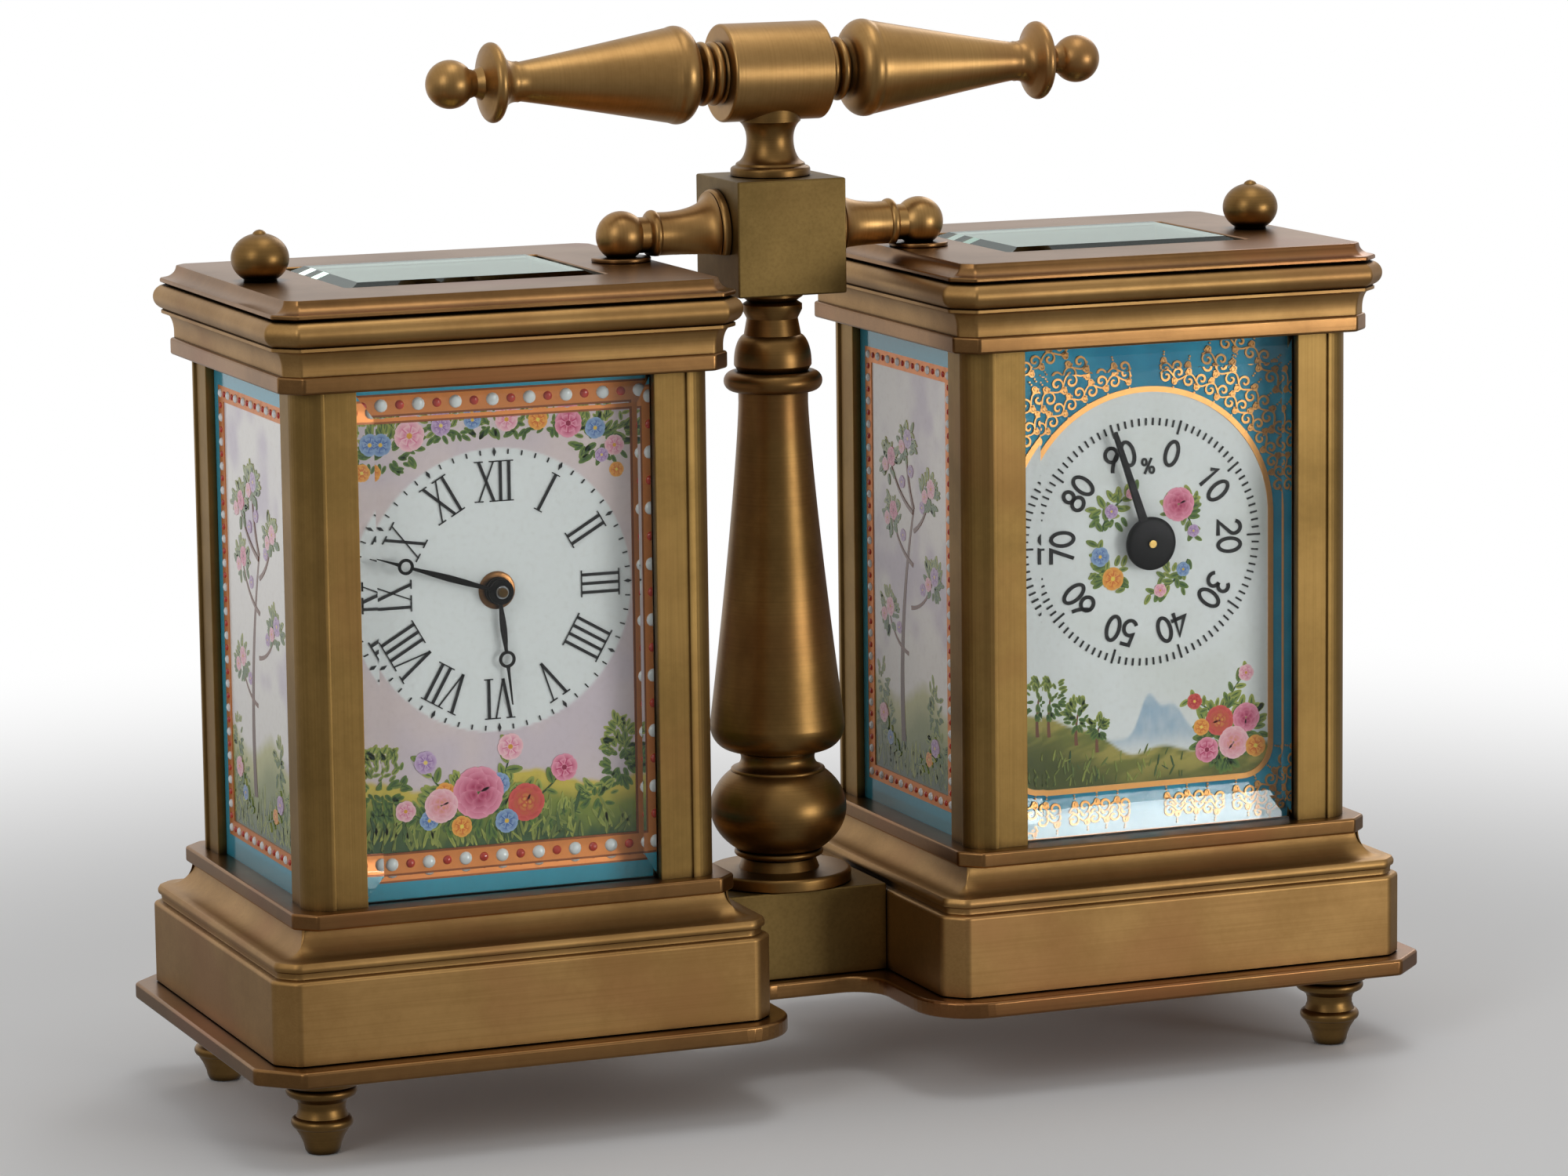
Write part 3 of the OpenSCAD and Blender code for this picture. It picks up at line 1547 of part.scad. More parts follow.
module dial_collar() {
    color(copper_edge)
        in_clock_case()
            difference() {
                union() {
                    on_arbor(centre_p, dial_y - 0.25)
                        cylinder(h = 0.25, r = 2.1, $fn = 48);
                    on_arbor(centre_p, dial_y - 0.1)
                        cylinder(h = dial_t + 0.1, r = collar_r, $fn = 48);
                }
                on_arbor(centre_p, dial_y - cut_over)
                    cylinder(h = dial_t + 2 * cut_over, r = hour_pipe_r + 0.1, $fn = 32);
            }
}

// A hand with a small open ring near its tip, drawn along +X
module ring_hand(l, ring_at, ring_r, hub_r, bore_r) {
    linear_extrude(hand_t)
        difference() {
            union() {
                circle(hub_r, $fn = 32);
                polygon([[0, -0.42], [ring_at, -0.24], [ring_at, 0.24], [0, 0.42]]);
                translate([ring_at, 0])
                    circle(ring_r, $fn = 32);
                polygon([[ring_at, -0.42], [l, -0.07], [l, 0.07], [ring_at, 0.42]]);
            }
            circle(bore_r, $fn = 32);
            translate([ring_at + 0.1, 0])
                circle(ring_r - 0.4, $fn = 32);
        }
}

// Turns a thing drawn along +X so that it points clockwise from the top of a dial
module at_dial_angle(y, angle) {
    on_arbor(centre_p, y)
        rotate(angle - 90)
            children();
}

module minute_hand() {
    color(blued)
        in_clock_case()
            at_dial_angle(minute_hand_y, minute_angle)
                ring_hand(minute_hand_l, 0.77 * minute_hand_l, 0.85, 1.4, minute_seat_r + seat_gap);
}

module hour_hand() {
    color(blued)
        in_clock_case()
            at_dial_angle(hour_hand_y, hour_angle)
                ring_hand(hour_hand_l, 0.6 * hour_hand_l, 0.9, 1.7, hour_seat_r + seat_gap);
}

// The weather instrument: a mounting plate with a short drum behind it and a bridge for the staff
drum_wall = 0.8;
bridge_t = 1;
staff_end_r = 0.45;
bridge_y = train_y + drum_depth;

module coil_housing() {
    color(gilt)
        in_weather_case()
            difference() {
                union() {
                    translate([-mplate_half_w, mplate_y, post_z])
                        cube([2 * mplate_half_w, mplate_t, platform_z - post_z]);
                    on_arbor(centre_p, train_y - eps)
                        difference() {
                            cylinder(h = drum_depth + bridge_t, r = drum_r, $fn = turn_fn);
                            translate([0, 0, eps])
                                cylinder(h = drum_depth + bridge_t + cut_over,
                                    r = drum_r - drum_wall, $fn = turn_fn);
                        }
                    translate([-drum_r + 0.4, bridge_y, dial_z - 2])
                        cube([2 * drum_r - 0.8, bridge_t, 4]);
                }
                plate_hole(centre_p, mplate_y, staff_r);
                plate_hole(centre_p, bridge_y, staff_end_r);
            }
}

coil_t = 0.25;
coil_w = 4;
coil_r0 = 2;
coil_r1 = 11.2;

module humidity_coil() {
    color(copper_edge)
        in_weather_case() {
            on_arbor(centre_p, train_y + 1.2)
                linear_extrude(coil_w)
                    polygon(spiral_points(coil_r0, coil_r1, coil_turns, coil_t, 24 * coil_turns));
            // post that fixes the outer end to the mounting plate
            on_arbor(centre_p, train_y)
                translate([coil_r1 + 0.4, 0, 0])
                    cylinder(h = coil_w + 1.2, r = 0.6, $fn = 24);
        }
}

module pointer_staff() {
    color(brass)
        in_weather_case() {
            on_arbor(centre_p, dial_y - 1.9)
                cylinder(h = bridge_y + bridge_t - 0.1 - dial_y + 1.9, r = staff_end_r, $fn = 24);
            on_arbor(centre_p, dial_y - 1.1)
                cylinder(h = bridge_y - 0.1 - dial_y + 1.1, r = staff_r, $fn = 32);
        }
}

module weather_pointer() {
    color(blued)
        in_weather_case()
            at_dial_angle(dial_y - 1.6, pointer_angle)
                linear_extrude(0.5)
                    difference() {
                        union() {
                            circle(pointer_hub_r, $fn = 48);
                            polygon([[0, -0.62], [pointer_l, -0.25], [pointer_l, 0.25], [0, 0.62]]);
                        }
                        circle(staff_end_r + seat_gap, $fn = 24);
                    }
}

base_plate();
feet();
link_block();
tie_rod();
tie_nut();
column();
head_cube();
handle_stem();
handle_barrel();
handle_grips();
case_arms();
arm_washers();
arm_studs();
finials();
floor_plates();
cornice_plates();
lid_glasses();
front_glasses();
clock_plinth();
clock_posts();
clock_cornice();
clock_lid();
clock_panels();
clock_dial();
clock_door();
clock_door_glass();
clock_door_knob();
weather_plinth();
weather_posts();
weather_cornice();
weather_lid();
weather_panels();
weather_dial();
weather_door();
weather_door_glass();
weather_door_knob();
front_movement_plate();
rear_movement_plate();
plate_pillars();
mainspring_barrel();
winding_arbor();
centre_wheel();
third_wheel();
contrate_wheel();
escapement_platform();
escape_wheel();
pallet_lever();
balance_wheel();
balance_cock();
balance_spring();
cannon_pinion();
minute_wheel();
hour_wheel();
minute_hand();
hour_hand();
dial_collar();
coil_housing();
humidity_coil();
pointer_staff();
weather_pointer();
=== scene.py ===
"""Looks of a desk pair in brass: a carriage clock and a humidity dial, joined by a turned column.

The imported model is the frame. Shapes are worked out in millimetres as numpy grids and outlines,
and put into meshes in metres, so that every piece lies where its node lies.
"""
import logging
import math
from collections.abc import Callable
from dataclasses import dataclass, field, replace
from enum import Enum
from functools import cache

import bmesh
import bpy
import numpy as np
from mathutils import Matrix, Vector
from mathutils.geometry import tessellate_polygon


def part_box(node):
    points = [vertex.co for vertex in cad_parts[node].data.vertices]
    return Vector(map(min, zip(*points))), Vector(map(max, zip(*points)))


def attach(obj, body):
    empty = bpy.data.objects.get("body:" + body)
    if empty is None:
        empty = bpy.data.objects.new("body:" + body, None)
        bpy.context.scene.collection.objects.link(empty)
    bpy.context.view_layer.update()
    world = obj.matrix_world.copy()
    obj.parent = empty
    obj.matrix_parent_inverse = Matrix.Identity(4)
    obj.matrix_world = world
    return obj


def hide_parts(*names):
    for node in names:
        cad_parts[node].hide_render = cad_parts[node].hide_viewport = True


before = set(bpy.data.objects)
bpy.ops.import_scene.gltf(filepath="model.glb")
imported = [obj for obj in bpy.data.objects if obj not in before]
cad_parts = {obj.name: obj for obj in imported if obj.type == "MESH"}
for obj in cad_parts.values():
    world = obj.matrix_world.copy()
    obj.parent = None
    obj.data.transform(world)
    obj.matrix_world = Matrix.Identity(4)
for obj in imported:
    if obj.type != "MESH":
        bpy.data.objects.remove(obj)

MM = 0.001
Array = np.ndarray
Pair = tuple[float, float]
Colour = tuple[float, float, float]
Socket = bpy.types.NodeSocket
log = logging.getLogger("desk_pair")


def linear(red: int, green: int, blue: int) -> Colour:
    """A linear colour from display values: a power law above a short straight toe.

    Args:
        red, green, blue: display values from 0 to 255.

    Returns:
        The three linear values.
    """
    shares = np.array([red, green, blue]) / 255
    return tuple(np.where(shares <= 0.04045, shares / 12.92, ((shares + 0.055) / 1.055) ** 2.4).tolist())


class Side(Enum):
    """The two cases, by the sign of their place along X."""

    CLOCK = -1
    WEATHER = 1

    @property
    def word(self) -> str:
        """The word that the names of this case's nodes start with."""
        return self.name.lower()


def node_box(node: str) -> tuple[Array, Array]:
    """Lowest and highest corner of a node, in millimetres."""
    low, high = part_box(node)
    return np.array(low) / MM, np.array(high) / MM


# Lines and outlines


def toward(degrees: float | Array) -> Array:
    """Unit vectors, the cosine and sine of each angle, (..., 2)."""
    return np.stack([np.cos(np.radians(degrees)), np.sin(np.radians(degrees))], -1)


def arc(cx: float, cy: float, rx: float, a0: float, a1: float, n: int = 10, ry: float | None = None) -> Array:
    """Points of an arc: centre plus radii times cosine and sine of an evenly stepped angle.

    Args:
        cx, cy, rx, ry: the centre and the radii. Without ry the arc is round.
        a0, a1, n: end angles in degrees, and the number of steps.

    Returns:
        An array of n + 1 points.
    """
    return [cx, cy] + toward(np.linspace(a0, a1, n + 1)) * [rx, rx if ry is None else ry]


def taper(r0: float, z0: float, r1: float, z1: float, power: float, n: int = 16) -> Array:
    """Points from one radius to another: the change of radius falls as a power of the height that is left.

    Args:
        r0, z0, r1, z1: radius and height of the start and of the end.
        power, n: how strongly the line is bowed, and the number of steps.

    Returns:
        An array of n + 1 points.
    """
    share = np.linspace(0, 1, n + 1)
    return np.stack([r1 + (r0 - r1) * (1 - share) ** power, z0 + (z1 - z0) * share], 1)


def line(*parts) -> Array:
    """Joins single points and arrays of points into one line."""
    return np.concatenate([np.atleast_2d(np.asarray(part, float)) for part in parts])


def softened(points: Array, radius: float, steps: int = 3) -> Array:
    """Rounds each corner of a closed outline.

    A corner p is replaced by a quadratic curve from p - t a to p + t b, where a and b are the
    directions of its edges and t is the radius times the tangent of half the turn, at most 0.45
    of the shorter edge.

    Args:
        points: closed outline, (n, 2).
        radius, steps: size of each rounding, and its number of steps.

    Returns:
        The outline with steps + 1 points for each corner.
    """
    before = points - np.roll(points, 1, 0)
    after = np.roll(points, -1, 0) - points
    length_before = np.linalg.norm(before, axis=1, keepdims=True)
    length_after = np.linalg.norm(after, axis=1, keepdims=True)
    a, b = before / length_before, after / length_after
    half_turn = np.arccos(np.clip((a * b).sum(1, keepdims=True), -1, 1)) / 2
    reach = np.minimum(radius * np.tan(half_turn), 0.45 * np.minimum(length_before, length_after))
    s = np.linspace(0, 1, steps + 1)[None, :, None]
    first, middle, last = (points - reach * a)[:, None], points[:, None], (points + reach * b)[:, None]
    return ((1 - s) ** 2 * first + 2 * s * (1 - s) * middle + s**2 * last).reshape(-1, 2)


def offset(points: Array, distance: float) -> Array:
    """Moves a closed outline outwards by a distance, with mitred corners.

    Each point moves by the distance times (n1 + n2) / (1 + n1 . n2), where n1 and n2 are the
    outward normals of its two edges. The outline runs anticlockwise.

    Args:
        points: closed outline, (n, 2).
        distance: outward distance, negative for inwards.

    Returns:
        The moved outline.
    """
    before = points - np.roll(points, 1, 0)
    n1, n2 = (
        np.stack([edge[:, 1], -edge[:, 0]], 1) / np.linalg.norm(edge, axis=1, keepdims=True)
        for edge in (before, np.roll(before, -1, 0))
    )
    return points + distance * (n1 + n2) / (1 + (n1 * n2).sum(1, keepdims=True))


def rectangle(width: float, depth: float, cut: float = 0.0) -> Array:
    """Outline of a rectangle about the origin, anticlockwise, with or without cut corners.

    Args:
        width, depth, cut: the sides, and the length taken off each at a corner.

    Returns:
        Four points, or eight if the corners are cut.
    """
    w, d = width / 2, depth / 2
    if cut == 0:
        return np.array([[w, -d], [w, d], [-w, d], [-w, -d]])
    quarter = np.array([[w, d - cut], [w - cut, d]])
    return np.concatenate([quarter, (quarter * [-1, 1])[::-1], quarter * [-1, -1], (quarter * [1, -1])[::-1]])


# Meshes


def grid_faces(rows: int, columns: int, wrap_rows: bool) -> Array:
    """Four-sided faces of a grid of points that is stored row by row and whose columns run round.

    Args:
        rows, columns, wrap_rows: the grid's size, and True if the last row joins the first.

    Returns:
        An array of four point numbers for each face.
    """
    i = np.arange(rows if wrap_rows else rows - 1)[:, None]
    left = np.arange(columns)[None, :]
    below, above = i * columns, (i + 1) % rows * columns
    right = (left + 1) % columns
    return np.stack([below + left, below + right, above + right, above + left], -1).reshape(-1, 4)


@dataclass
class Shape:
    """A mesh in millimetres, whose triangles repeat their last corner.

    A painted one has a linear colour for each point, and the number of each face's material.
    """

    points: Array
    faces: Array
    colours: Array | None = None
    skins: Array | None = None

    def painted(self, colour: Colour | Array, skin: int = 0) -> "Shape":
        """The same mesh with a colour on its points and a material number on its faces."""
        colours = np.broadcast_to(np.asarray(colour, float), self.points.shape).copy()
        return Shape(self.points, self.faces, colours, np.full(len(self.faces), skin))

    def moved(self, x: float = 0, y: float = 0, z: float = 0) -> "Shape":
        """The same mesh, moved by millimetres."""
        return replace(self, points=self.points + [x, y, z])

    def placed(self, axes: Array, origin: Array) -> "Shape":
        """The same mesh, with its local axes laid along the columns of a matrix, at an origin."""
        return replace(self, points=self.points @ np.asarray(axes, float).T + origin)

    def turned(self, degrees: float, axis: str = "Z") -> "Shape":
        """The same mesh, turned about one of the three axes."""
        return self.placed(np.array(Matrix.Rotation(math.radians(degrees), 3, axis)), np.zeros(3))


def joined(shapes: list[Shape]) -> Shape:
    """Several meshes as one, with colours and material numbers if the first has them."""
    starts = np.cumsum([0] + [len(shape.points) for shape in shapes[:-1]])
    faces = np.concatenate([shape.faces + start for shape, start in zip(shapes, starts)])
    points = np.concatenate([shape.points for shape in shapes])
    if shapes[0].colours is None:
        return Shape(points, faces)
    colours = np.concatenate([shape.colours for shape in shapes])
    return Shape(points, faces, colours, np.concatenate([shape.skins for shape in shapes]))


def copies(shape: Shape, places: list[tuple[float, ...]]) -> Shape:
    """Copies of a mesh as one mesh, one moved to each place."""
    return joined([shape.moved(*place) for place in places])


def flat_faces(outline: Array) -> Array:
    """Triangles that fill an outline, (n, 2), as an array of faces."""
    triangles = tessellate_polygon([[Vector((x, y, 0)) for x, y in outline]])
    return np.array([(a, b, c, c) for a, b, c in triangles])


def loft(rings: list[Array] | Array, ring_shaped: bool = False) -> Shape:
    """A skin over closed rings: the grid's rows are the rings and its columns run round them.

    Args:
        rings: rings of equal length, (k, n, 3).
        ring_shaped: True if the last joins the first. Otherwise both ends are filled.

    Returns:
        The closed mesh.
    """
    rings = np.asarray(rings, float)
    rows, columns = rings.shape[:2]
    faces = [grid_faces(rows, columns, ring_shaped)]
    if not ring_shaped:
        flat = np.ptp(rings[0], axis=0).argmin()
        kept = [axis for axis in range(3) if axis != flat]
        faces.append(flat_faces(rings[0][:, kept]))
        faces.append(flat_faces(rings[-1][:, kept]) + (rows - 1) * columns)
    return Shape(rings.reshape(-1, 3), np.concatenate(faces))


def at_height(outline: Array, z: float) -> Array:
    """A flat outline as a ring of points at a height."""
    return np.column_stack([outline, np.full(len(outline), z)])


def lathe(profile: Array, segments: int = 96, hollow: bool = False) -> Shape:
    """Turns a profile about Z: x is r cos a and y is r sin a for each radius r and angle a.

    Args:
        profile, segments: radius and height of each point, and the number of steps round.
        hollow: True if the profile is closed round a bore, and False if it is closed at the axis.

    Returns:
        The closed mesh.
    """
    if not hollow:
        profile = line([0, profile[0][1]], profile, [0, profile[-1][1]])
    circle = toward(np.linspace(0, 360, segments, endpoint=False))
    rings = [at_height(radius * circle, z) for radius, z in profile]
    return Shape(np.concatenate(rings), grid_faces(len(profile), segments, hollow))


def rings_of(outline: Array, profile: Array, rounding: float, steps: int = 3) -> list[Array]:
    """Rings of a moulding: an outline at each step of a profile of outward distance and height.

    Args:
        outline: closed outline of the nominal face.
        profile: outward distance and height of each step.
        rounding, steps: radius of the upright corners, and the number of steps in each.

    Returns:
        A ring for each step of the profile.
    """
    return [at_height(softened(offset(outline, out), rounding, steps), z) for out, z in profile]


def framed(rings: list[Array], opening: Array, low: float, high: float) -> Shape:
    """A moulding with a window: its rings go up the outer profile and come down the window.

    Args:
        rings: the rings of the outer profile, whose outline has eight corners.
        opening, low, high: the window's outline, with eight corners, and its lower and upper height.

    Returns:
        The closed mesh.
    """
    soft = 0.12
    window = rings_of(opening, [(soft, high), (0, high - soft), (0, low)], soft)
    return loft(rings + window, ring_shaped=True)


def plate_profile(low: float, high: float, edge: float) -> Array:
    """Outward distance and height along a plate's edge, whose two arrises are rounded."""
    return line(arc(-edge, low + edge, edge, -90, 0, 4), arc(-edge, high - edge, edge, 0, 90, 4))


def soft_block(node: str, edge: float) -> Shape:
    """A block as large as a node, whose arrises are rounded by an edge radius."""
    low, high = node_box(node)
    size, centre = high - low, (high + low) / 2
    rings = rings_of(rectangle(size[0], size[1]), plate_profile(low[2], high[2], edge), edge)
    return loft(rings).moved(centre[0], centre[1])


# Finishes


class Slot(Enum):
    """The record's material slots."""

    BRASS = "aged_brass"
    COPPER = "coppery_brass"
    GILT = "gilt_brass"
    STEEL = "bright_steel"
    BLACK = "blackened_steel"
    GLASS = "clear_glass"
    WHITE = "white_porcelain"
    PAINTED = "painted_porcelain"


class Nodes:
    """The node tree of a material or a world, with short calls to add and join nodes."""

    def __init__(self, owner: bpy.types.Material | bpy.types.World) -> None:
        """Opens the tree, and finds its output and the shader that feeds it."""
        owner.use_nodes = True
        self.owner = owner
        self.tree = owner.node_tree
        self.output = next(n for n in self.tree.nodes if n.type.startswith("OUTPUT"))
        self.shader = self.output.inputs["Surface"].links[0].from_node

    def fill(self, node: bpy.types.Node, *values, **named) -> bpy.types.Node:
        """Fills a node's sockets and sets its properties.

        Args:
            node: the node.
            values: a value or a socket to join for each of its first sockets.
            named: the same by a socket's name with _ for a space, or a property in small letters.

        Returns:
            The node.
        """
        for socket, value in zip(node.inputs, values):
            self.put(socket, value)
        for key, value in named.items():
            if key.islower():
                setattr(node, key, value)
            else:
                self.put(node.inputs[key.replace("_", " ")], value)
        return node

    def add(self, kind: str, *values, **named) -> bpy.types.Node:
        """Adds a node of a type, given without its ShaderNode prefix, and fills it."""
        return self.fill(self.tree.nodes.new("ShaderNode" + kind), *values, **named)

    def put(self, socket: Socket, value) -> None:
        """Sets a socket to a value, or joins another socket to it."""
        if isinstance(value, Socket):
            self.tree.links.new(value, socket)
        else:
            socket.default_value = (*value, 1) if socket.type == "RGBA" else value

    def math(self, operation: str, *values) -> Socket:
        """A Math node on values or sockets."""
        return self.add("Math", *values, operation=operation).outputs[0]

    def noise(self, scale: tuple[float, float, float], detail: float = 2, rough: float = 0.5) -> Socket:
        """Noise on Object coordinates.

        Args:
            scale: features per metre along X, Y and Z.
            detail, rough: octaves, and the share that each keeps.

        Returns:
            The value socket.
        """
        place = self.add("TexCoord").outputs["Object"]
        place = self.add("Mapping", Vector=place, Scale=scale).outputs[0]
        return self.add("TexNoise", Vector=place, Scale=1.0, Detail=detail, Roughness=rough).outputs["Fac"]

    def ramp(self, value: Socket, low: float, high: float) -> Socket:
        """A smooth step from 0 at low to 1 at high."""
        smooth = {"interpolation_type": "SMOOTHSTEP", "From_Min": low, "From_Max": high}
        return self.add("MapRange", value, **smooth).outputs["Result"]

    def span(self, value: Socket, low, high) -> Socket:
        """A value from 0 to 1, spread evenly from low to high."""
        return self.add("MapRange", value, To_Min=low, To_Max=high).outputs["Result"]

    def mix(self, share, first, second, blend_type: str = "MIX") -> Socket:
        """A mix of two colours by a share. The colours' sockets are the seventh and the eighth."""
        node = self.add("Mix", share, data_type="RGBA", blend_type=blend_type)
        self.put(node.inputs[6], first)
        self.put(node.inputs[7], second)
        return node.outputs[2]

    def show(self, share: Socket, first: bpy.types.Node, second: bpy.types.Node) -> None:
        """Puts a mix of two shaders by a share on the output."""
        both = self.add("MixShader", share, first.outputs[0], second.outputs[0])
        self.put(self.output.inputs["Surface"], both.outputs[0])

    def mirrored(self) -> Socket:
        """1 for a ray that comes from a mirror or a gloss, also through glass, and 0 for all others."""
        path = self.add("LightPath").outputs
        bounced = self.math("GREATER_THAN", path["Glossy Depth"], 0.5)
        matt = self.math("LESS_THAN", path["Diffuse Depth"], 0.5)
        return self.math("MULTIPLY", self.math("MULTIPLY", path["Is Glossy Ray"], bounced), matt)


class Grain(Enum):
    """Which way the fine marks of brushing or turning run, as noise scales per metre."""

    ALONG_X = (60.0, 5200.0, 5200.0)
    ALONG_Z = (5200.0, 5200.0, 60.0)
    ROUND_X = (4200.0, 8.0, 8.0)
    ROUND_Y = (8.0, 4200.0, 8.0)
    ROUND_Z = (8.0, 8.0, 4200.0)
    NONE = (2600.0, 2600.0, 2600.0)


@dataclass(frozen=True)
class Metal:
    """A metal with cloudy patina, fine marks, dirt and painted shade in its corners, and uneven gloss.

    The tones are clean metal, darkened metal and its redder patches, the gloss is the lowest and
    highest roughness, and the corner is how far the dirt and painted shade reach, in millimetres.
    """

    name: str
    slot: Slot
    tones: tuple[Colour, Colour, Colour]
    grain: Grain = Grain.NONE
    marks: float = 0.3
    gloss: Pair = (0.24, 0.42)
    warmth: float = 0.5
    # The crevice colour and the corner reach make dirt and painted shade, laid in by ambient occlusion.
    crevice_dirt_and_shade: Colour = linear(38, 26, 14)
    corner: float = 1.6

    @cache
    def material(self) -> bpy.types.Material:
        """The material, made once."""
        nodes = Nodes(bpy.data.materials.new(self.name))
        bright, aged, warm = self.tones
        clouds = nodes.noise((70, 70, 80), 4)
        specks = nodes.noise((900, 900, 900), 4, 0.65)
        patches = nodes.noise((38, 42, 46), 3)
        fine = nodes.noise(self.grain.value)
        tarnish = nodes.ramp(nodes.math("MULTIPLY_ADD", specks, 0.3, clouds), 0.42, 0.92)
        colour = nodes.mix(nodes.span(tarnish, 0.15, 0.75), bright, aged)
        colour = nodes.mix(nodes.math("MULTIPLY", nodes.ramp(patches, 0.5, 0.68), self.warmth), colour, warm)
        colour = nodes.mix(nodes.math("MULTIPLY", nodes.ramp(fine, 0.35, 0.75), 0.28), colour, aged)
        # Painted shade and dirt: ambient occlusion mixes the dark crevice colour into corners and joints
        # where shade falls.
        occlusion_open_share = nodes.add("AmbientOcclusion", samples=6, Distance=self.corner * MM).outputs["AO"]
        marks = nodes.add("Bump", Strength=self.marks, Distance=0.012 * MM, Height=fine).outputs[0]
        pits = nodes.add("Bump", Strength=0.25, Distance=0.02 * MM, Height=specks, Normal=marks).outputs[0]
        nodes.fill(
            nodes.shader,
            Base_Color=nodes.mix(nodes.ramp(occlusion_open_share, 0.25, 0.8), self.crevice_dirt_and_shade, colour),
            Metallic=1.0,
            Roughness=nodes.span(clouds, *self.gloss),
            Normal=pits,
        )
        return nodes.owner


def tones(*levels: tuple[int, int, int]) -> tuple[Colour, ...]:
    """Linear colours from several sets of display values."""
    return tuple(linear(*level) for level in levels)


AGED = tones((190, 150, 94), (144, 108, 62), (166, 118, 76))
TARNISHED = tones((156, 120, 70), (104, 78, 42), (128, 86, 50))
POSTS = tones((168, 134, 78), (122, 96, 52), (142, 104, 62))
DULL = tones((136, 111, 66), (97, 78, 42), (108, 83, 48))
COPPERY = tones((162, 120, 74), (116, 84, 50), (150, 98, 62))
GOLDEN = tones((226, 188, 112), (190, 148, 78), (206, 152, 84))
STEELY = tones((196, 198, 202), (150, 152, 158), (170, 168, 164))
SOOTY = tones((44, 43, 44), (24, 24, 26), (40, 36, 34))


class Brass:
    """The brass finishes."""

    FLAT = Metal("aged_brass_flat", Slot.BRASS, AGED, Grain.ALONG_X, 0.22, (0.38, 0.5))
    POST = Metal("aged_brass_post", Slot.BRASS, POSTS, Grain.ALONG_Z, 0.35, (0.38, 0.5))
    TURNED_Z = Metal("turned_brass_upright", Slot.BRASS, TARNISHED, Grain.ROUND_Z, 0.4, (0.32, 0.44))
    TURNED_X = Metal("turned_brass_lying", Slot.BRASS, AGED, Grain.ROUND_X, 0.5, (0.32, 0.43))
    DARK = Metal("dull_brass", Slot.BRASS, DULL, Grain.NONE, 0.3, (0.42, 0.56))
    COPPER = Metal("coppery_plate_brass", Slot.COPPER, COPPERY, Grain.ALONG_X, 0.2, (0.24, 0.36), 0.7)
    GILT = Metal(
        "bright_gilding", Slot.GILT, GOLDEN, Grain.ALONG_X, 0.2, (0.18, 0.3), 0.3, linear(84, 60, 26), 0.8
    )


class Steel:
    """The steel finishes."""

    BRIGHT = Metal(
        "polished_steel", Slot.STEEL, STEELY, Grain.ROUND_Y, 0.2, (0.16, 0.3), 0.5, linear(60, 60, 62), 0.4
    )
    BLACK = Metal("black_hand_steel", Slot.BLACK, SOOTY, Grain.NONE, 0.3, (0.3, 0.5), 0.5, linear(10, 10, 10))


@dataclass(frozen=True)
class ClearGlass:
    """Clear sheet glass with a green tint, which lets lamps through."""

    name: str = "bevelled_pane_glass"
    tint: Colour = (0.985, 0.997, 0.991)
    slot: Slot = Slot.GLASS

    @cache
    def material(self) -> bpy.types.Material:
        """The material, made once."""
        nodes = Nodes(bpy.data.materials.new(self.name))
        nodes.tree.nodes.remove(nodes.shader)
        glass = nodes.add("BsdfGlass", Color=self.tint, Roughness=0.0, IOR=1.5)
        clear = nodes.add("BsdfTransparent", Color=self.tint)
        nodes.show(nodes.add("LightPath").outputs["Is Shadow Ray"], glass, clear)
        return nodes.owner


@dataclass(frozen=True)
class Enamel:
    """Glazed painting on porcelain, and gilding where metallic is above 0, in the piece's own paint."""

    name: str
    metallic: float = 0.0
    gloss: Pair = (0.1, 0.22)
    coat: float = 0.35

    @cache
    def material(self) -> bpy.types.Material:
        """The material, made once."""
        nodes = Nodes(bpy.data.materials.new(self.name))
        paint = nodes.add("Attribute", attribute_name="paint").outputs["Color"]
        brushwork = nodes.ramp(nodes.noise((1400, 1400, 1400), 4, 0.6), 0.45, 0.8)
        waves = nodes.noise((420, 420, 420))
        nodes.fill(
            nodes.shader,
            Base_Color=nodes.mix(nodes.span(brushwork, 0.4, 0.62), paint, (0.72, 0.68, 0.64), "MULTIPLY"),
            Metallic=self.metallic,
            Roughness=nodes.span(brushwork, *self.gloss),
            Coat_Weight=self.coat,
            Coat_Roughness=0.06,
            Normal=nodes.add("Bump", Strength=0.35, Distance=0.03 * MM, Height=waves).outputs[0],
        )
        return nodes.owner


GLAZE = Enamel("painted_glaze")
GILDING = Enamel("worn_gilding", 0.55, (0.3, 0.45), 0.0)


def in_scene(name: str, data: bpy.types.ID) -> bpy.types.Object:
    """A new object in the scene."""
    thing = bpy.data.objects.new(name, data)
    bpy.context.scene.collection.objects.link(thing)
    return thing


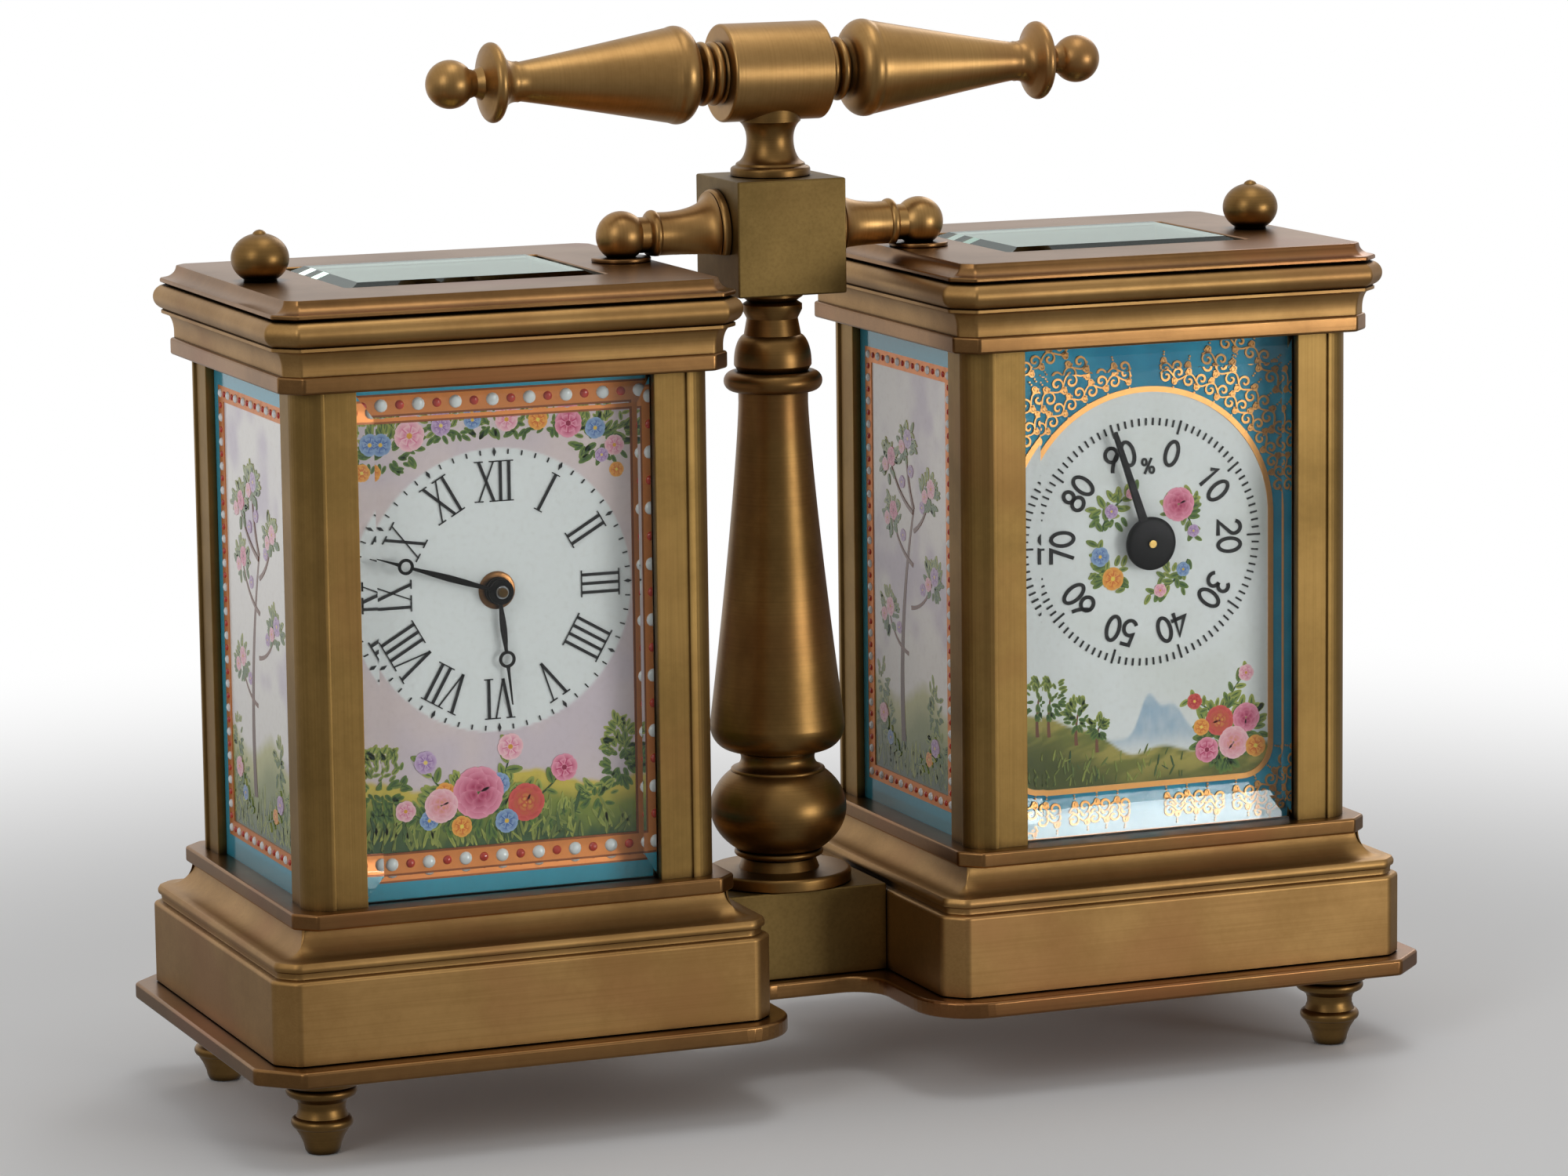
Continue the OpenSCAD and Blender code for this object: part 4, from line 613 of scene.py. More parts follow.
def make_piece(
    name: str, node: str, shape: Shape, *finishes, body: str = "frame", slot: Slot | None = None,
    smooth: float = 32,
) -> None:
    """Makes a piece from a mesh, dresses it and lets it stand for its node.

    Where the mesh isn't painted, points that coincide are merged and the faces turned outwards.

    Args:
        name, node: names of the piece and of the node that it stands for.
        shape: its mesh in millimetres.
        finishes: a finish for each of the mesh's material numbers.
        body: the body that it rides on.
        slot: the record's slot, if it isn't the finish's own. Not used.
        smooth: edges that turn by more than this many degrees stay sharp.
    """
    mesh = bpy.data.meshes.new(name)
    faces = [list(dict.fromkeys(face)) for face in shape.faces.tolist()]
    mesh.from_pydata(shape.points * MM, [], faces)
    painted = shape.skins is not None
    if painted:
        mesh.polygons.foreach_set("material_index", shape.skins.astype(np.int32))
        paint = mesh.color_attributes.new("paint", "FLOAT_COLOR", "POINT")
        paint.data.foreach_set("color", np.column_stack([shape.colours, np.ones(len(shape.points))]).ravel())
    else:
        work = bmesh.new()
        work.from_mesh(mesh)
        bmesh.ops.remove_doubles(work, verts=work.verts, dist=0.0005 * MM)
        bmesh.ops.recalc_face_normals(work, faces=work.faces)
        work.to_mesh(mesh)
        work.free()
    mesh.polygons.foreach_set("use_smooth", np.ones(len(mesh.polygons), bool))
    mesh.set_sharp_from_angle(angle=math.radians(smooth))
    for finish in finishes:
        mesh.materials.append(finish.material())
    piece = in_scene(name, mesh)
    if not painted:
        even = piece.modifiers.new("even_shading", "WEIGHTED_NORMAL")
        even.keep_sharp = True
        even.weight = 100
    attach(piece, body)
    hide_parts(node)
    log.info("%s: %d faces for %s, on %s", name, len(mesh.polygons), node, body)


def dress(finish: Metal | ClearGlass, *names: str) -> None:
    """Gives nodes that stay as they are a finish."""
    for name in names:
        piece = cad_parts[name]
        piece.data.materials.clear()
        piece.data.materials.append(finish.material())
        log.info("%s: kept, %s", name, finish.name)


# Sub-assemblies


@dataclass
class Stand:
    """The base plate on its four feet, with the block between the plinths. Sizes in millimetres."""

    arris: float = 0.35
    lobe_corner_r: float = 1.2
    base_cut: float = 4.3
    mouth_r: float = 7.0
    neck_r: float = 4.0
    neck_half: float = 8.7
    plinth_half: float = 28.7
    base_out: float = 2.4
    case_x: float = 39.0
    foot_in: float = 6.6
    foot_flange: float = 0.9
    block_edge: float = 0.2

    def base_plate(self) -> None:
        """Builds the base plate: a lobe with cut corners under each plinth, joined by a neck."""
        low, (half_w, half_d, top) = node_box("base_plate")
        notch_half = self.case_x - self.plinth_half - self.base_out
        mouth, neck = self.mouth_r, self.neck_r
        quarter = line(
            [half_w, half_d - self.base_cut],
            [half_w - self.base_cut, half_d],
            arc(notch_half + mouth, half_d - mouth, mouth, 90, 180, 12),
            arc(notch_half - neck, self.neck_half + neck, neck, 0, -90, 8),
        )
        half = np.concatenate([quarter, (quarter * [-1, 1])[::-1]])
        outline = np.concatenate([half, (half * [1, -1])[::-1]])
        rings = rings_of(outline, plate_profile(low[2], top, self.arris), self.lobe_corner_r, 4)
        make_piece("base_plate_rounded", "base_plate", loft(rings), Brass.COPPER)

    def feet(self) -> None:
        """Builds the four feet, each a cone up to a ring, a waist and a stepped flange."""
        far = node_box("feet")[1]
        x = self.case_x + self.plinth_half - self.foot_in
        radius = far[0] - x
        y = far[1] - radius
        height = node_box("base_plate")[0][2]
        ring_z, waist_z = 0.38 * height, 0.56 * height
        profile = line(
            [1.45, 0], [1.75, 0.12], [1.95, 0.5], [2.1, 1.2], [2.45, ring_z - 1.5], [2.85, ring_z - 0.85],
            arc(2.75, ring_z, 0.65, -70, 80, 12),
            [2.6, waist_z - 0.3], [2.6, waist_z + 0.2], [2.75, waist_z + 0.7], [3.2, height - 3.0],
            arc(3.3, height - 2.3, 0.6, -80, 80, 10),
            [3.55, height - 1.62],
            arc(radius - 0.7, height - self.foot_flange, 0.7, -75, 30, 10),
            [radius, height - self.foot_flange / 2], [radius, height],
        )
        feet = copies(lathe(profile, 72), [(sx * x, sy * y) for sx in (-1, 1) for sy in (-1, 1)])
        make_piece("turned_feet", "feet", feet, Brass.TURNED_Z)

    def build(self) -> None:
        """Builds the whole stand."""
        self.base_plate()
        self.feet()
        make_piece("link_block_soft", "link_block", soft_block("link_block", self.block_edge), Brass.DARK)
        dress(Brass.TURNED_Z, "tie_nut")
        dress(Steel.BRIGHT, "tie_rod")


@dataclass
class ColumnAndHandle:
    """The turned column, its head cube, the arms to the cases and the handle. Sizes in millimetres."""

    bore_r: float = 1.55
    foot_r: float = 8.25
    bulb_r: float = 7.8
    bell_r: float = 7.7
    head_l: float = 12.7
    barrel_r: float = 5.5
    barrel_arris: float = 0.35
    grip_r: float = 5.5
    grip_ball_r: float = 2.7
    grip_end_l: float = 4.9
    arm_ball_r: float = 2.81
    arm_ball_x: float = 18.05
    arm_end_l: float = 3.4
    washer_t: float = 0.5
    washer_edge: float = 0.12
    ball_flat: float = 0.5
    cube_edge: float = 0.22

    def column(self) -> None:
        """Builds the column: foot disc, bulb between two rings, bell, long taper, bead and neck."""
        low, high = node_box("column")
        h = high[2] - low[2]
        head = h - self.head_l
        profile = line(
            [self.bore_r, 0], [self.foot_r - 0.15, 0], [self.foot_r, 0.15],
            arc(self.foot_r - 0.4, 1.1, 0.4, 0, 90, 6),
            [4.6, 1.55], arc(4.4, 2.15, 0.6, 110, 180, 5), [3.8, 2.8], [4.4, 2.98],
            arc(4.7, 3.4, 0.4, -90, 80, 8),
            arc(0, 8.5, self.bulb_r, -49, 47, 32, 5.95),
            arc(5.1, 12.9, 0.3, -70, 90, 6),
            arc(5.6, 14.3, 1.4, 240, 150, 8, 1.2),
            [4.3, 15.1], [5.2, 15.25],
            arc(5.2, 18.1, self.bell_r - 5.2, -88, 0, 14, 2.8),
            taper(self.bell_r, 18.3, 3.95, head, 1.25, 28),
            arc(4.45, head + 2.5, 1.15, -115, 115, 16),
            [4.1, head + 3.85], [4.4, head + 4.3],
            arc(3.0, head + 4.6, 1.4, 5, 80, 12, 3.2),
            [2.9, head + 9.6], [3.4, head + 10.6], [3.4, head + 11.2], [2.8, head + 11.6],
            [3.5, h - 0.6], [3.5, h], [self.bore_r, h],
        )
        column = lathe(profile, 128, hollow=True).moved(z=low[2])
        make_piece("turned_column", "column", column, Brass.TURNED_Z)

    def handle_stem(self) -> None:
        """Builds the waisted stem under the handle's barrel."""
        bottom = node_box("head_cube")[1][2]
        height = node_box("handle_stem")[1][2] - bottom
        profile = line(
            [4.35, 0], [4.5, 0.12], [4.5, 0.7], arc(4.1, 0.7, 0.4, 0, 90, 6), [3.95, 1.2], [3.85, 1.45],
            arc(3.95, 4.1, 1.3, 250, 180, 10, 2.6), arc(3.95, 4.1, 1.3, 178, 112, 10, 2.2),
            [3.6, height - 0.4],
        )
        stem = lathe(profile, 80).moved(z=bottom)
        make_piece("handle_stem_turned", "handle_stem", stem, Brass.TURNED_Z)

    def handle(self) -> None:
        """Builds the barrel and two grips, drawn upwards from its end face to their balls."""
        low, high = node_box("handle_barrel")
        half, z = high[0], (low[2] + high[2]) / 2
        soft = self.barrel_arris
        ends = (
            arc(self.barrel_r - soft, -half + soft, soft, -90, 0, 5),
            arc(self.barrel_r - soft, half - soft, soft, 0, 90, 5),
        )
        barrel = lathe(line([0, -half], *ends, [0, half]), 128).turned(90, "Y").moved(z=z)
        make_piece("handle_barrel_turned", "handle_barrel", barrel, Brass.TURNED_X)
        ball = node_box("handle_grips")[1][0] - self.grip_ball_r - half
        flange = ball - self.grip_end_l
        profile = line(
            [3.5, 0], arc(3.1, 0.8, 0.5, -80, 80, 8), [3.0, 1.45], arc(3.1, 2.1, 0.5, -80, 80, 8),
            [2.9, 2.85], [3.3, 3.25],
            arc(3.2, 5.3, self.grip_r - 3.2, -82, 25, 16, 2.0),
            taper(self.grip_r - 0.22, 6.3, 2.2, flange - 3.2, 1.05, 18),
            arc(4.0, flange - 2.6, 1.75, 190, 110, 9, 1.7),
            arc(3.75, flange, 0.7, -75, 85, 12),
            [3.0, flange + 1.05], [1.9, flange + 1.35], [1.45, flange + 2.1],
            arc(0, ball, self.grip_ball_r, -52, 90, 28),
        )
        grip = lathe(profile).moved(z=half)
        grips = joined([grip.turned(-90, "Y"), grip.turned(90, "Y")]).moved(z=z)
        make_piece("turned_grips", "handle_grips", grips, Brass.TURNED_X)

    def arms(self) -> None:
        """Builds the two arms, each a flared stem with a bead and a ball, and their washers."""
        cube_half = node_box("head_cube")[1][0]
        low, high = node_box("arm_washers")
        z = high[2] + self.arm_ball_r - self.ball_flat
        ball = self.arm_ball_x - cube_half
        bead = ball - self.arm_end_l
        profile = line(
            [4.6, 0], [4.75, 0.12], [4.75, 0.5], arc(4.35, 0.6, 0.4, 0, 85, 6),
            arc(4.5, bead - 1.6, 2.05, 270, 182, 16, bead - 2.7),
            arc(2.2, bead - 0.3, 0.55, -60, 80, 10), [2.0, bead + 0.4],
            arc(0, ball, self.arm_ball_r, -44, 90, 26),
        )
        arm = lathe(profile).moved(z=cube_half)
        arms = joined([arm.turned(-90, "Y"), arm.turned(90, "Y")]).moved(z=z)
        arms.points[:, 2] = np.maximum(arms.points[:, 2], high[2])
        make_piece("turned_arms", "case_arms", arms, Brass.TURNED_X)
        edge = self.washer_edge
        inner = (high[1] - low[1]) / 2 - edge
        over = self.washer_t - edge
        profile = line([0, 0], arc(inner, edge, edge, -90, 0, 3), arc(inner, over, edge, 0, 90, 3))
        washers = copies(lathe(profile, 80), [(s * self.arm_ball_x, 0, low[2]) for s in (-1, 1)])
        make_piece("thin_washers", "arm_washers", washers, Brass.COPPER)

    def finials(self) -> None:
        """Builds the two finials: slightly flattened balls with a small point."""
        high = node_box("finials")[1]
        radius = high[1]
        lid_top = node_box("clock_lid")[1][2]
        tip = high[2] - lid_top
        profile = line(
            [1.75, 0], [1.9, 0.1], arc(0, 2.45, radius, -56, 76, 30, tip - 2.85),
            [0.62, tip - 0.26], [0.38, tip - 0.1], [0, tip],
        )
        balls = copies(lathe(profile, 80), [(s * (high[0] - radius), 0, lid_top) for s in (-1, 1)])
        make_piece("ball_finials", "finials", balls, Brass.TURNED_Z)

    def build(self) -> None:
        """Builds the column, cube, handle, arms and finials."""
        self.column()
        make_piece("head_cube_soft", "head_cube", soft_block("head_cube", self.cube_edge), Brass.DARK)
        self.handle_stem()
        self.handle()
        self.arms()
        self.finials()
        dress(Steel.BRIGHT, "arm_studs")


@dataclass
class Case:
    """One brass case: plinth, floor plate, posts, cornice plate, cornice, lid, glasses and door.

    Sizes in millimetres.
    """

    side: Side
    case_x: float = 39.0
    plinth_w: float = 57.4
    plinth_d: float = 50.2
    box_h: float = 9.35
    plinth_corner_r: float = 1.4
    case_w: float = 47.6
    case_d: float = 41.6
    case_cut: float = 2.2
    floor_out: float = 1.7
    cornice_plate_out: float = 1.8
    cornice_out: float = 3.4
    cornice_cut: float = 2.8
    lid_out: float = 2.6
    lid_bevel: float = 1.7
    bead_r: float = 1.4
    window_w: float = 30.1
    window_d: float = 23.4
    window_cut: float = 0.25
    ledge: float = 1.0
    post_leg: float = 6.9
    post_r: float = 3.2
    post_step: float = 0.3
    post_wall: float = 3.4
    post_arris: float = 0.14
    groove_in: float = 1.4
    groove_w: float = 1.7
    groove_depth: float = 1.0
    corner_r: float = 0.7
    plate_edge: float = 0.3
    pane_w: float = 35.7
    pane_edge_t: float = 1.6
    pane_margin: Pair = (0.95, 0.3)
    pane_bevel: Pair = (1.9, 2.8)

    @property
    def x(self) -> float:
        """Place of the case along X."""
        return self.side.value * self.case_x

    def window(self, ledge: float = 0.0) -> Array:
        """Outline of the window in the lid, or in the plates under it with a ledge for the glass."""
        return rectangle(self.window_w - 2 * ledge, self.window_d - 2 * ledge, self.window_cut)

    def outline(self, out: float, cut: float) -> Array:
        """Outline of a piece that stands out from the case, with cut corners."""
        return rectangle(self.case_w + 2 * out, self.case_d + 2 * out, cut)

    def piece(self, part: str, look: str, shape: Shape, finish: Metal) -> None:
        """Makes one of this case's own pieces.

        Args:
            part, look: the node's name without the case's word, and the last word of the piece's.
            shape, finish: its mesh about the case's middle, and its finish.
        """
        node = f"{self.side.word}_{part}"
        make_piece(f"{node}_{look}", node, shape.moved(self.x), finish)

    def heights(self, part: str) -> Pair:
        """Lower and upper height of one of this case's own nodes."""
        low, high = node_box(f"{self.side.word}_{part}")
        return low[2], high[2]

    def plinth(self) -> None:
        """Builds the plinth: a plain side, a small set-in, a fillet and a cove up to the floor plate."""
        low, high = self.heights("plinth")
        h, box = high - low, self.box_h
        cove_foot, cove_z = 1.6, box + 1.95
        cove_top = self.plinth_w / 2 - self.case_w / 2 - self.floor_out + 1.2
        profile = line(
            [-0.2, 0], [0, 0.15], [0, box - 0.45], arc(-0.4, box - 0.4, 0.4, 0, 80, 5),
            [-0.75, box + 0.12], [-0.8, box + 0.3], [-0.75, box + 0.75], [-0.5, box + 0.9],
            [-0.42, box + 1.1], [-0.42, cove_z - 0.5], [-0.62, cove_z - 0.12],
            [-0.9, cove_z - 0.02], [-cove_foot, cove_z],
            arc(-cove_foot, h, cove_top - cove_foot, 268, 180, 16, h - cove_z),
        )
        outline = rectangle(self.plinth_w, self.plinth_d, self.case_cut)
        shape = loft(rings_of(outline, profile, self.plinth_corner_r)).moved(z=low)
        self.piece("plinth", "moulded", shape, Brass.FLAT)

    def posts(self) -> None:
        """Builds the four posts, each with a round corner and a groove for each pane."""
        r, step, leg = self.post_r, self.post_step, self.post_leg
        inner = step + self.post_wall
        deep = leg - self.groove_depth
        low, high = self.groove_in, self.groove_in + self.groove_w
        section = line(
            [r, 0], [r, step], [leg, step], [leg, low], [deep, low], [deep, high], [leg, high],
            [leg, inner], [inner, inner],
            [inner, leg], [high, leg], [high, deep], [low, deep], [low, leg], [step, leg], [step, r],
            [0, r], arc(r, r, r, 180, 270, 12)[1:-1],
        )
        section = softened(section, self.post_arris, 2)
        rings = [at_height(section, z) for z in self.heights("posts")]
        post = loft(rings).moved(-self.case_w / 2, -self.case_d / 2)
        posts = [
            Shape(post.points * [sx, sy, 1], post.faces if sx * sy > 0 else post.faces[:, ::-1])
            for sx in (-1, 1)
            for sy in (-1, 1)
        ]
        self.piece("posts", "soft", joined(posts), Brass.POST)

    def cornice(self) -> None:
        """Builds the cornice: a cove, small fillets and a full round bead under the lid."""
        low, high = self.heights("cornice")
        h = high - low
        bead_z = h - self.bead_r - 0.2
        cove = bead_z - self.bead_r
        profile = line(
            [-2.1, 0], [-2.1, 0.6], arc(-1.2, 0.6, 0.9, 180, 90, 10, cove - 1.1), [-0.95, cove - 0.5],
            [-0.82, cove - 0.42], [-0.82, cove - 0.1], [-1.0, cove + 0.02],
            arc(-self.bead_r, bead_z, self.bead_r, -68, 78, 20),
            [-1.5, h - 0.14], [-1.6, h - 0.02], [-1.9, h],
        )
        rings = rings_of(self.outline(self.cornice_out, self.cornice_cut), profile, self.corner_r)
        shape = framed(rings, self.window(self.ledge), 0, h).moved(z=low)
        self.piece("cornice", "moulded", shape, Brass.FLAT)

    def lid(self) -> None:
        """Builds the lid: a thin upright edge, a slightly hollow bevel and a window for its glass."""
        low, high = self.heights("lid")
        t, bevel = high - low, self.lid_bevel
        profile = line(
            [-0.12, 0], [0, 0.1], [0, 0.36], [-0.1, 0.5], arc(0, t - 0.12, bevel, 262, 184, 12, t - 0.62),
            [-bevel - 0.06, t - 0.04], [-bevel - 0.2, t],
        )
        rings = rings_of(self.outline(self.lid_out, self.case_cut), profile, self.corner_r)
        self.piece("lid", "bevelled", framed(rings, self.window(), 0, t).moved(z=low), Brass.COPPER)

    def plate(self, node: str, out: float, window: bool) -> Shape:
        """A plate of this case, with cut corners and rounded arrises.

        Args:
            node, out, window: its node, how far it stands out, and True if it has a window.

        Returns:
            The mesh.
        """
        low, high = (corner[2] for corner in node_box(node))
        profile = plate_profile(low, high, self.plate_edge)
        rings = rings_of(self.outline(out, self.case_cut), profile, self.corner_r)
        shape = framed(rings, self.window(self.ledge), low, high) if window else loft(rings)
        return shape.moved(self.x)

    def front_pane(self) -> Shape:
        """The front glass: rectangles at its back, its edge and, smaller by the bevel, its front."""
        low, high = node_box("front_glasses")
        half = np.array([self.pane_w, high[2] - low[2]]) / 2
        edge = half - self.pane_margin
        edge_y = high[1] - self.pane_edge_t
        rings = [
            np.insert([[-w, -h], [w, -h], [w, h], [-w, h]], 1, y, axis=1)
            for (w, h), y in (
                (half, high[1]), (half, edge_y), (edge, edge_y), (edge - self.pane_bevel, low[1]),
            )
        ]
        return loft(rings).moved(self.x, z=(low[2] + high[2]) / 2)

    def build(self) -> None:
        """Builds the case's own pieces, and dresses its rear door."""
        self.plinth()
        self.posts()
        self.cornice()
        self.lid()
        dress(Brass.POST, f"{self.side.word}_door")
        dress(ClearGlass(), f"{self.side.word}_door_glass")
        dress(Brass.GILT, f"{self.side.word}_door_knob")


def build_shared_plates(cases: list[Case]) -> None:
    """Builds the plates and glasses that both cases share a node for."""
    floors = joined([case.plate("floor_plates", case.floor_out, False) for case in cases])
    make_piece("floor_plates_soft", "floor_plates", floors, Brass.COPPER)
    tops = joined([case.plate("cornice_plates", case.cornice_plate_out, True) for case in cases])
    make_piece("cornice_plates_soft", "cornice_plates", tops, Brass.COPPER)
    panes = joined([case.front_pane() for case in cases])
    make_piece("front_panes_bevelled", "front_glasses", panes, ClearGlass(), smooth=8)
    dress(ClearGlass("lid_pane_glass", (0.9, 0.975, 0.94)), "lid_glasses")


@dataclass
class Works:
    """The clock movement and the humidity works, which keep their nodes, by their metals."""

    gilt: tuple[str, ...] = (
        "front_movement_plate", "rear_movement_plate", "plate_pillars", "mainspring_barrel",
        "centre_wheel", "third_wheel", "contrate_wheel", "escapement_platform", "escape_wheel",
        "balance_wheel", "balance_cock", "minute_wheel", "hour_wheel", "coil_housing", "pointer_staff",
    )
    steel: tuple[str, ...] = ("winding_arbor", "pallet_lever", "balance_spring", "cannon_pinion")
    copper: tuple[str, ...] = ("humidity_coil",)

    def build(self) -> None:
        """Dresses every node of the works."""
        dress(Brass.GILT, *self.gilt)
        dress(Steel.BRIGHT, *self.steel)
        dress(Brass.COPPER, *self.copper)


# Painting on porcelain


DIAL_AXES = np.array([[1, 0, 0], [0, 0, -1], [0, 1, 0]])
PANEL_AXES = {
    1: np.array([[0, 0, 1], [1, 0, 0], [0, 1, 0]]),
    -1: np.array([[0, 0, -1], [-1, 0, 0], [0, 1, 0]]),
}


class Paint:
    """Colours of the painting, in linear values."""

    WHITE = linear(232, 236, 238)
    CLOUD = linear(222, 226, 224)
    LILAC = linear(212, 198, 208)
    ROSE_MIST = linear(222, 205, 206)
    PANEL_SKY = linear(208, 198, 212)
    PANEL_CLOUD = linear(238, 236, 232)
    TURQUOISE = linear(58, 158, 184)
    DEEP_TURQUOISE = linear(14, 128, 164)
    PALE_TURQUOISE = linear(40, 152, 184)
    BAND = linear(226, 140, 74)
    BAND_LINE = linear(150, 84, 44)
    GOLD = linear(232, 166, 92)
    BLACK = linear(24, 22, 24)
    BEAD_WHITE = linear(226, 231, 233)
    BEAD_RED = linear(186, 52, 34)
    SUNLIT = linear(212, 190, 84)
    PALE_GRASS = linear(190, 190, 120)
    GRASS = linear(128, 142, 62)
    SHADE = linear(66, 92, 58)
    LEAF = linear(104, 132, 58)
    DARK_LEAF = linear(54, 84, 50)
    PALE_LEAF = linear(176, 182, 92)
    BARK = linear(124, 82, 62)
    DARK_BARK = linear(96, 66, 50)
    HILL_BLUE = linear(150, 180, 206)
    HILL_SUN = linear(172, 160, 84)
    HILL_GREEN = linear(118, 122, 58)
    HILL_SHADE = linear(84, 92, 44)


class Flower(Enum):
    """Blossoms, by the colours of their foot, rim and heart."""

    ROSE = tones((196, 60, 108), (240, 160, 184), (150, 30, 70))
    PINK = tones((226, 130, 160), (246, 200, 208), (222, 160, 50))
    BLUE = tones((74, 104, 168), (150, 178, 214), (232, 190, 70))
    ORANGE = tones((214, 100, 38), (246, 178, 80), (240, 214, 90))
    RED = tones((178, 34, 44), (222, 96, 88), (236, 190, 80))
    LILAC = tones((150, 108, 168), (206, 180, 214), (236, 206, 110))


ROSE, PINK, BLUE, ORANGE, RED, LILAC = Flower


def blend(first, second, share: Array) -> Array:
    """Colours between two, by a share for each point."""
    return np.asarray(first) + (np.asarray(second) - np.asarray(first)) * share[..., None]


def ease(value: Array, low: float, high: float) -> Array:
    """A smooth step from 0 at low to 1 at high: three squares less two cubes of the share between them."""
    share = np.clip((value - low) / (high - low), 0, 1)
    return share * share * (3 - 2 * share)


def wash(u: Array, v: Array, size: float, seed: int) -> Array:
    """Soft clouds from 0 to 1: seeded values on a square lattice, eased between its points, in two octaves.

    Args:
        u, v: places in millimetres.
        size, seed: width of the largest clouds, and the number that they start from.

    Returns:
        A value for each place.
    """
    n = 64
    lattice = np.random.default_rng(seed).random((n, n))
    total = np.zeros_like(u)
    for scale, weight in ((size, 0.65), (size / 2.7, 0.35)):
        x, y = u / scale + 32.3, v / scale + 31.7
        i, j = np.floor(x).astype(int), np.floor(y).astype(int)
        s, t = ease(x - i, 0, 1), ease(y - j, 0, 1)
        a, b, c, d = (lattice[(i + p) % n, (j + q) % n] for p in (0, 1) for q in (0, 1))
        total += weight * ((1 - s) * ((1 - t) * a + t * b) + s * ((1 - t) * c + t * d))
    return total


def petals(at, angle: Array, length, width, blunt: float, steps: int = 12) -> Array:
    """Outlines of petals or leaves.

    Along its length the edge is at (1 - cos t) / 2, and beside it at half the width times sin t,
    times a share that grows from 1 - blunt at the foot to 1 + blunt at the tip.

    Args:
        at: the feet, one or one for each petal.
        angle: directions in degrees, (n,).
        length, width: sizes, one or one for each petal.
        blunt: above 0 for a petal that is widest past its middle, below 0 for a pointed leaf.
        steps: points in each outline.

    Returns:
        Outlines, (n, steps, 2), anticlockwise.
    """
    n = len(angle)
    t = np.linspace(0, 2 * np.pi, steps, endpoint=False)
    along = (1 - np.cos(t)) / 2
    beside = -np.sin(t) / 2 * (1 - blunt + 2 * blunt * along)
    x = np.multiply.outer(np.broadcast_to(length, n), along)
    y = np.multiply.outer(np.broadcast_to(width, n), beside)
    way = toward(angle)
    left = np.stack([-way[:, 1], way[:, 0]], 1)
    feet = np.broadcast_to(at, (n, 2))
    return feet[:, None] + x[..., None] * way[:, None] + y[..., None] * left[:, None]


def bent(start, end, sag: float, n: int = 10) -> Array:
    """A path between two points that bows to its left by sag: a parabola on the chord."""
    start, end = np.asarray(start, float), np.asarray(end, float)
    s = np.linspace(0, 1, n + 1)[:, None]
    chord = end - start
    left = np.array([-chord[1], chord[0]]) / np.linalg.norm(chord)
    return start + chord * s + left * 4 * sag * s * (1 - s)


def spaced(path: Array, count: int, closed: bool = False) -> tuple[Array, Array]:
    """Points at even distances along a path.

    Args:
        path, count: the path, (k, 2), and their number.
        closed: True if the path ends where it starts, so that its last point is left out.

    Returns:
        The points, and the distance to each along the path.
    """
    reach = np.concatenate([[0], np.cumsum(np.linalg.norm(np.diff(path, axis=0), axis=1))])
    place = np.linspace(0, reach[-1], count, endpoint=not closed)
    return np.column_stack([np.interp(place, reach, path[:, i]) for i in (0, 1)]), place


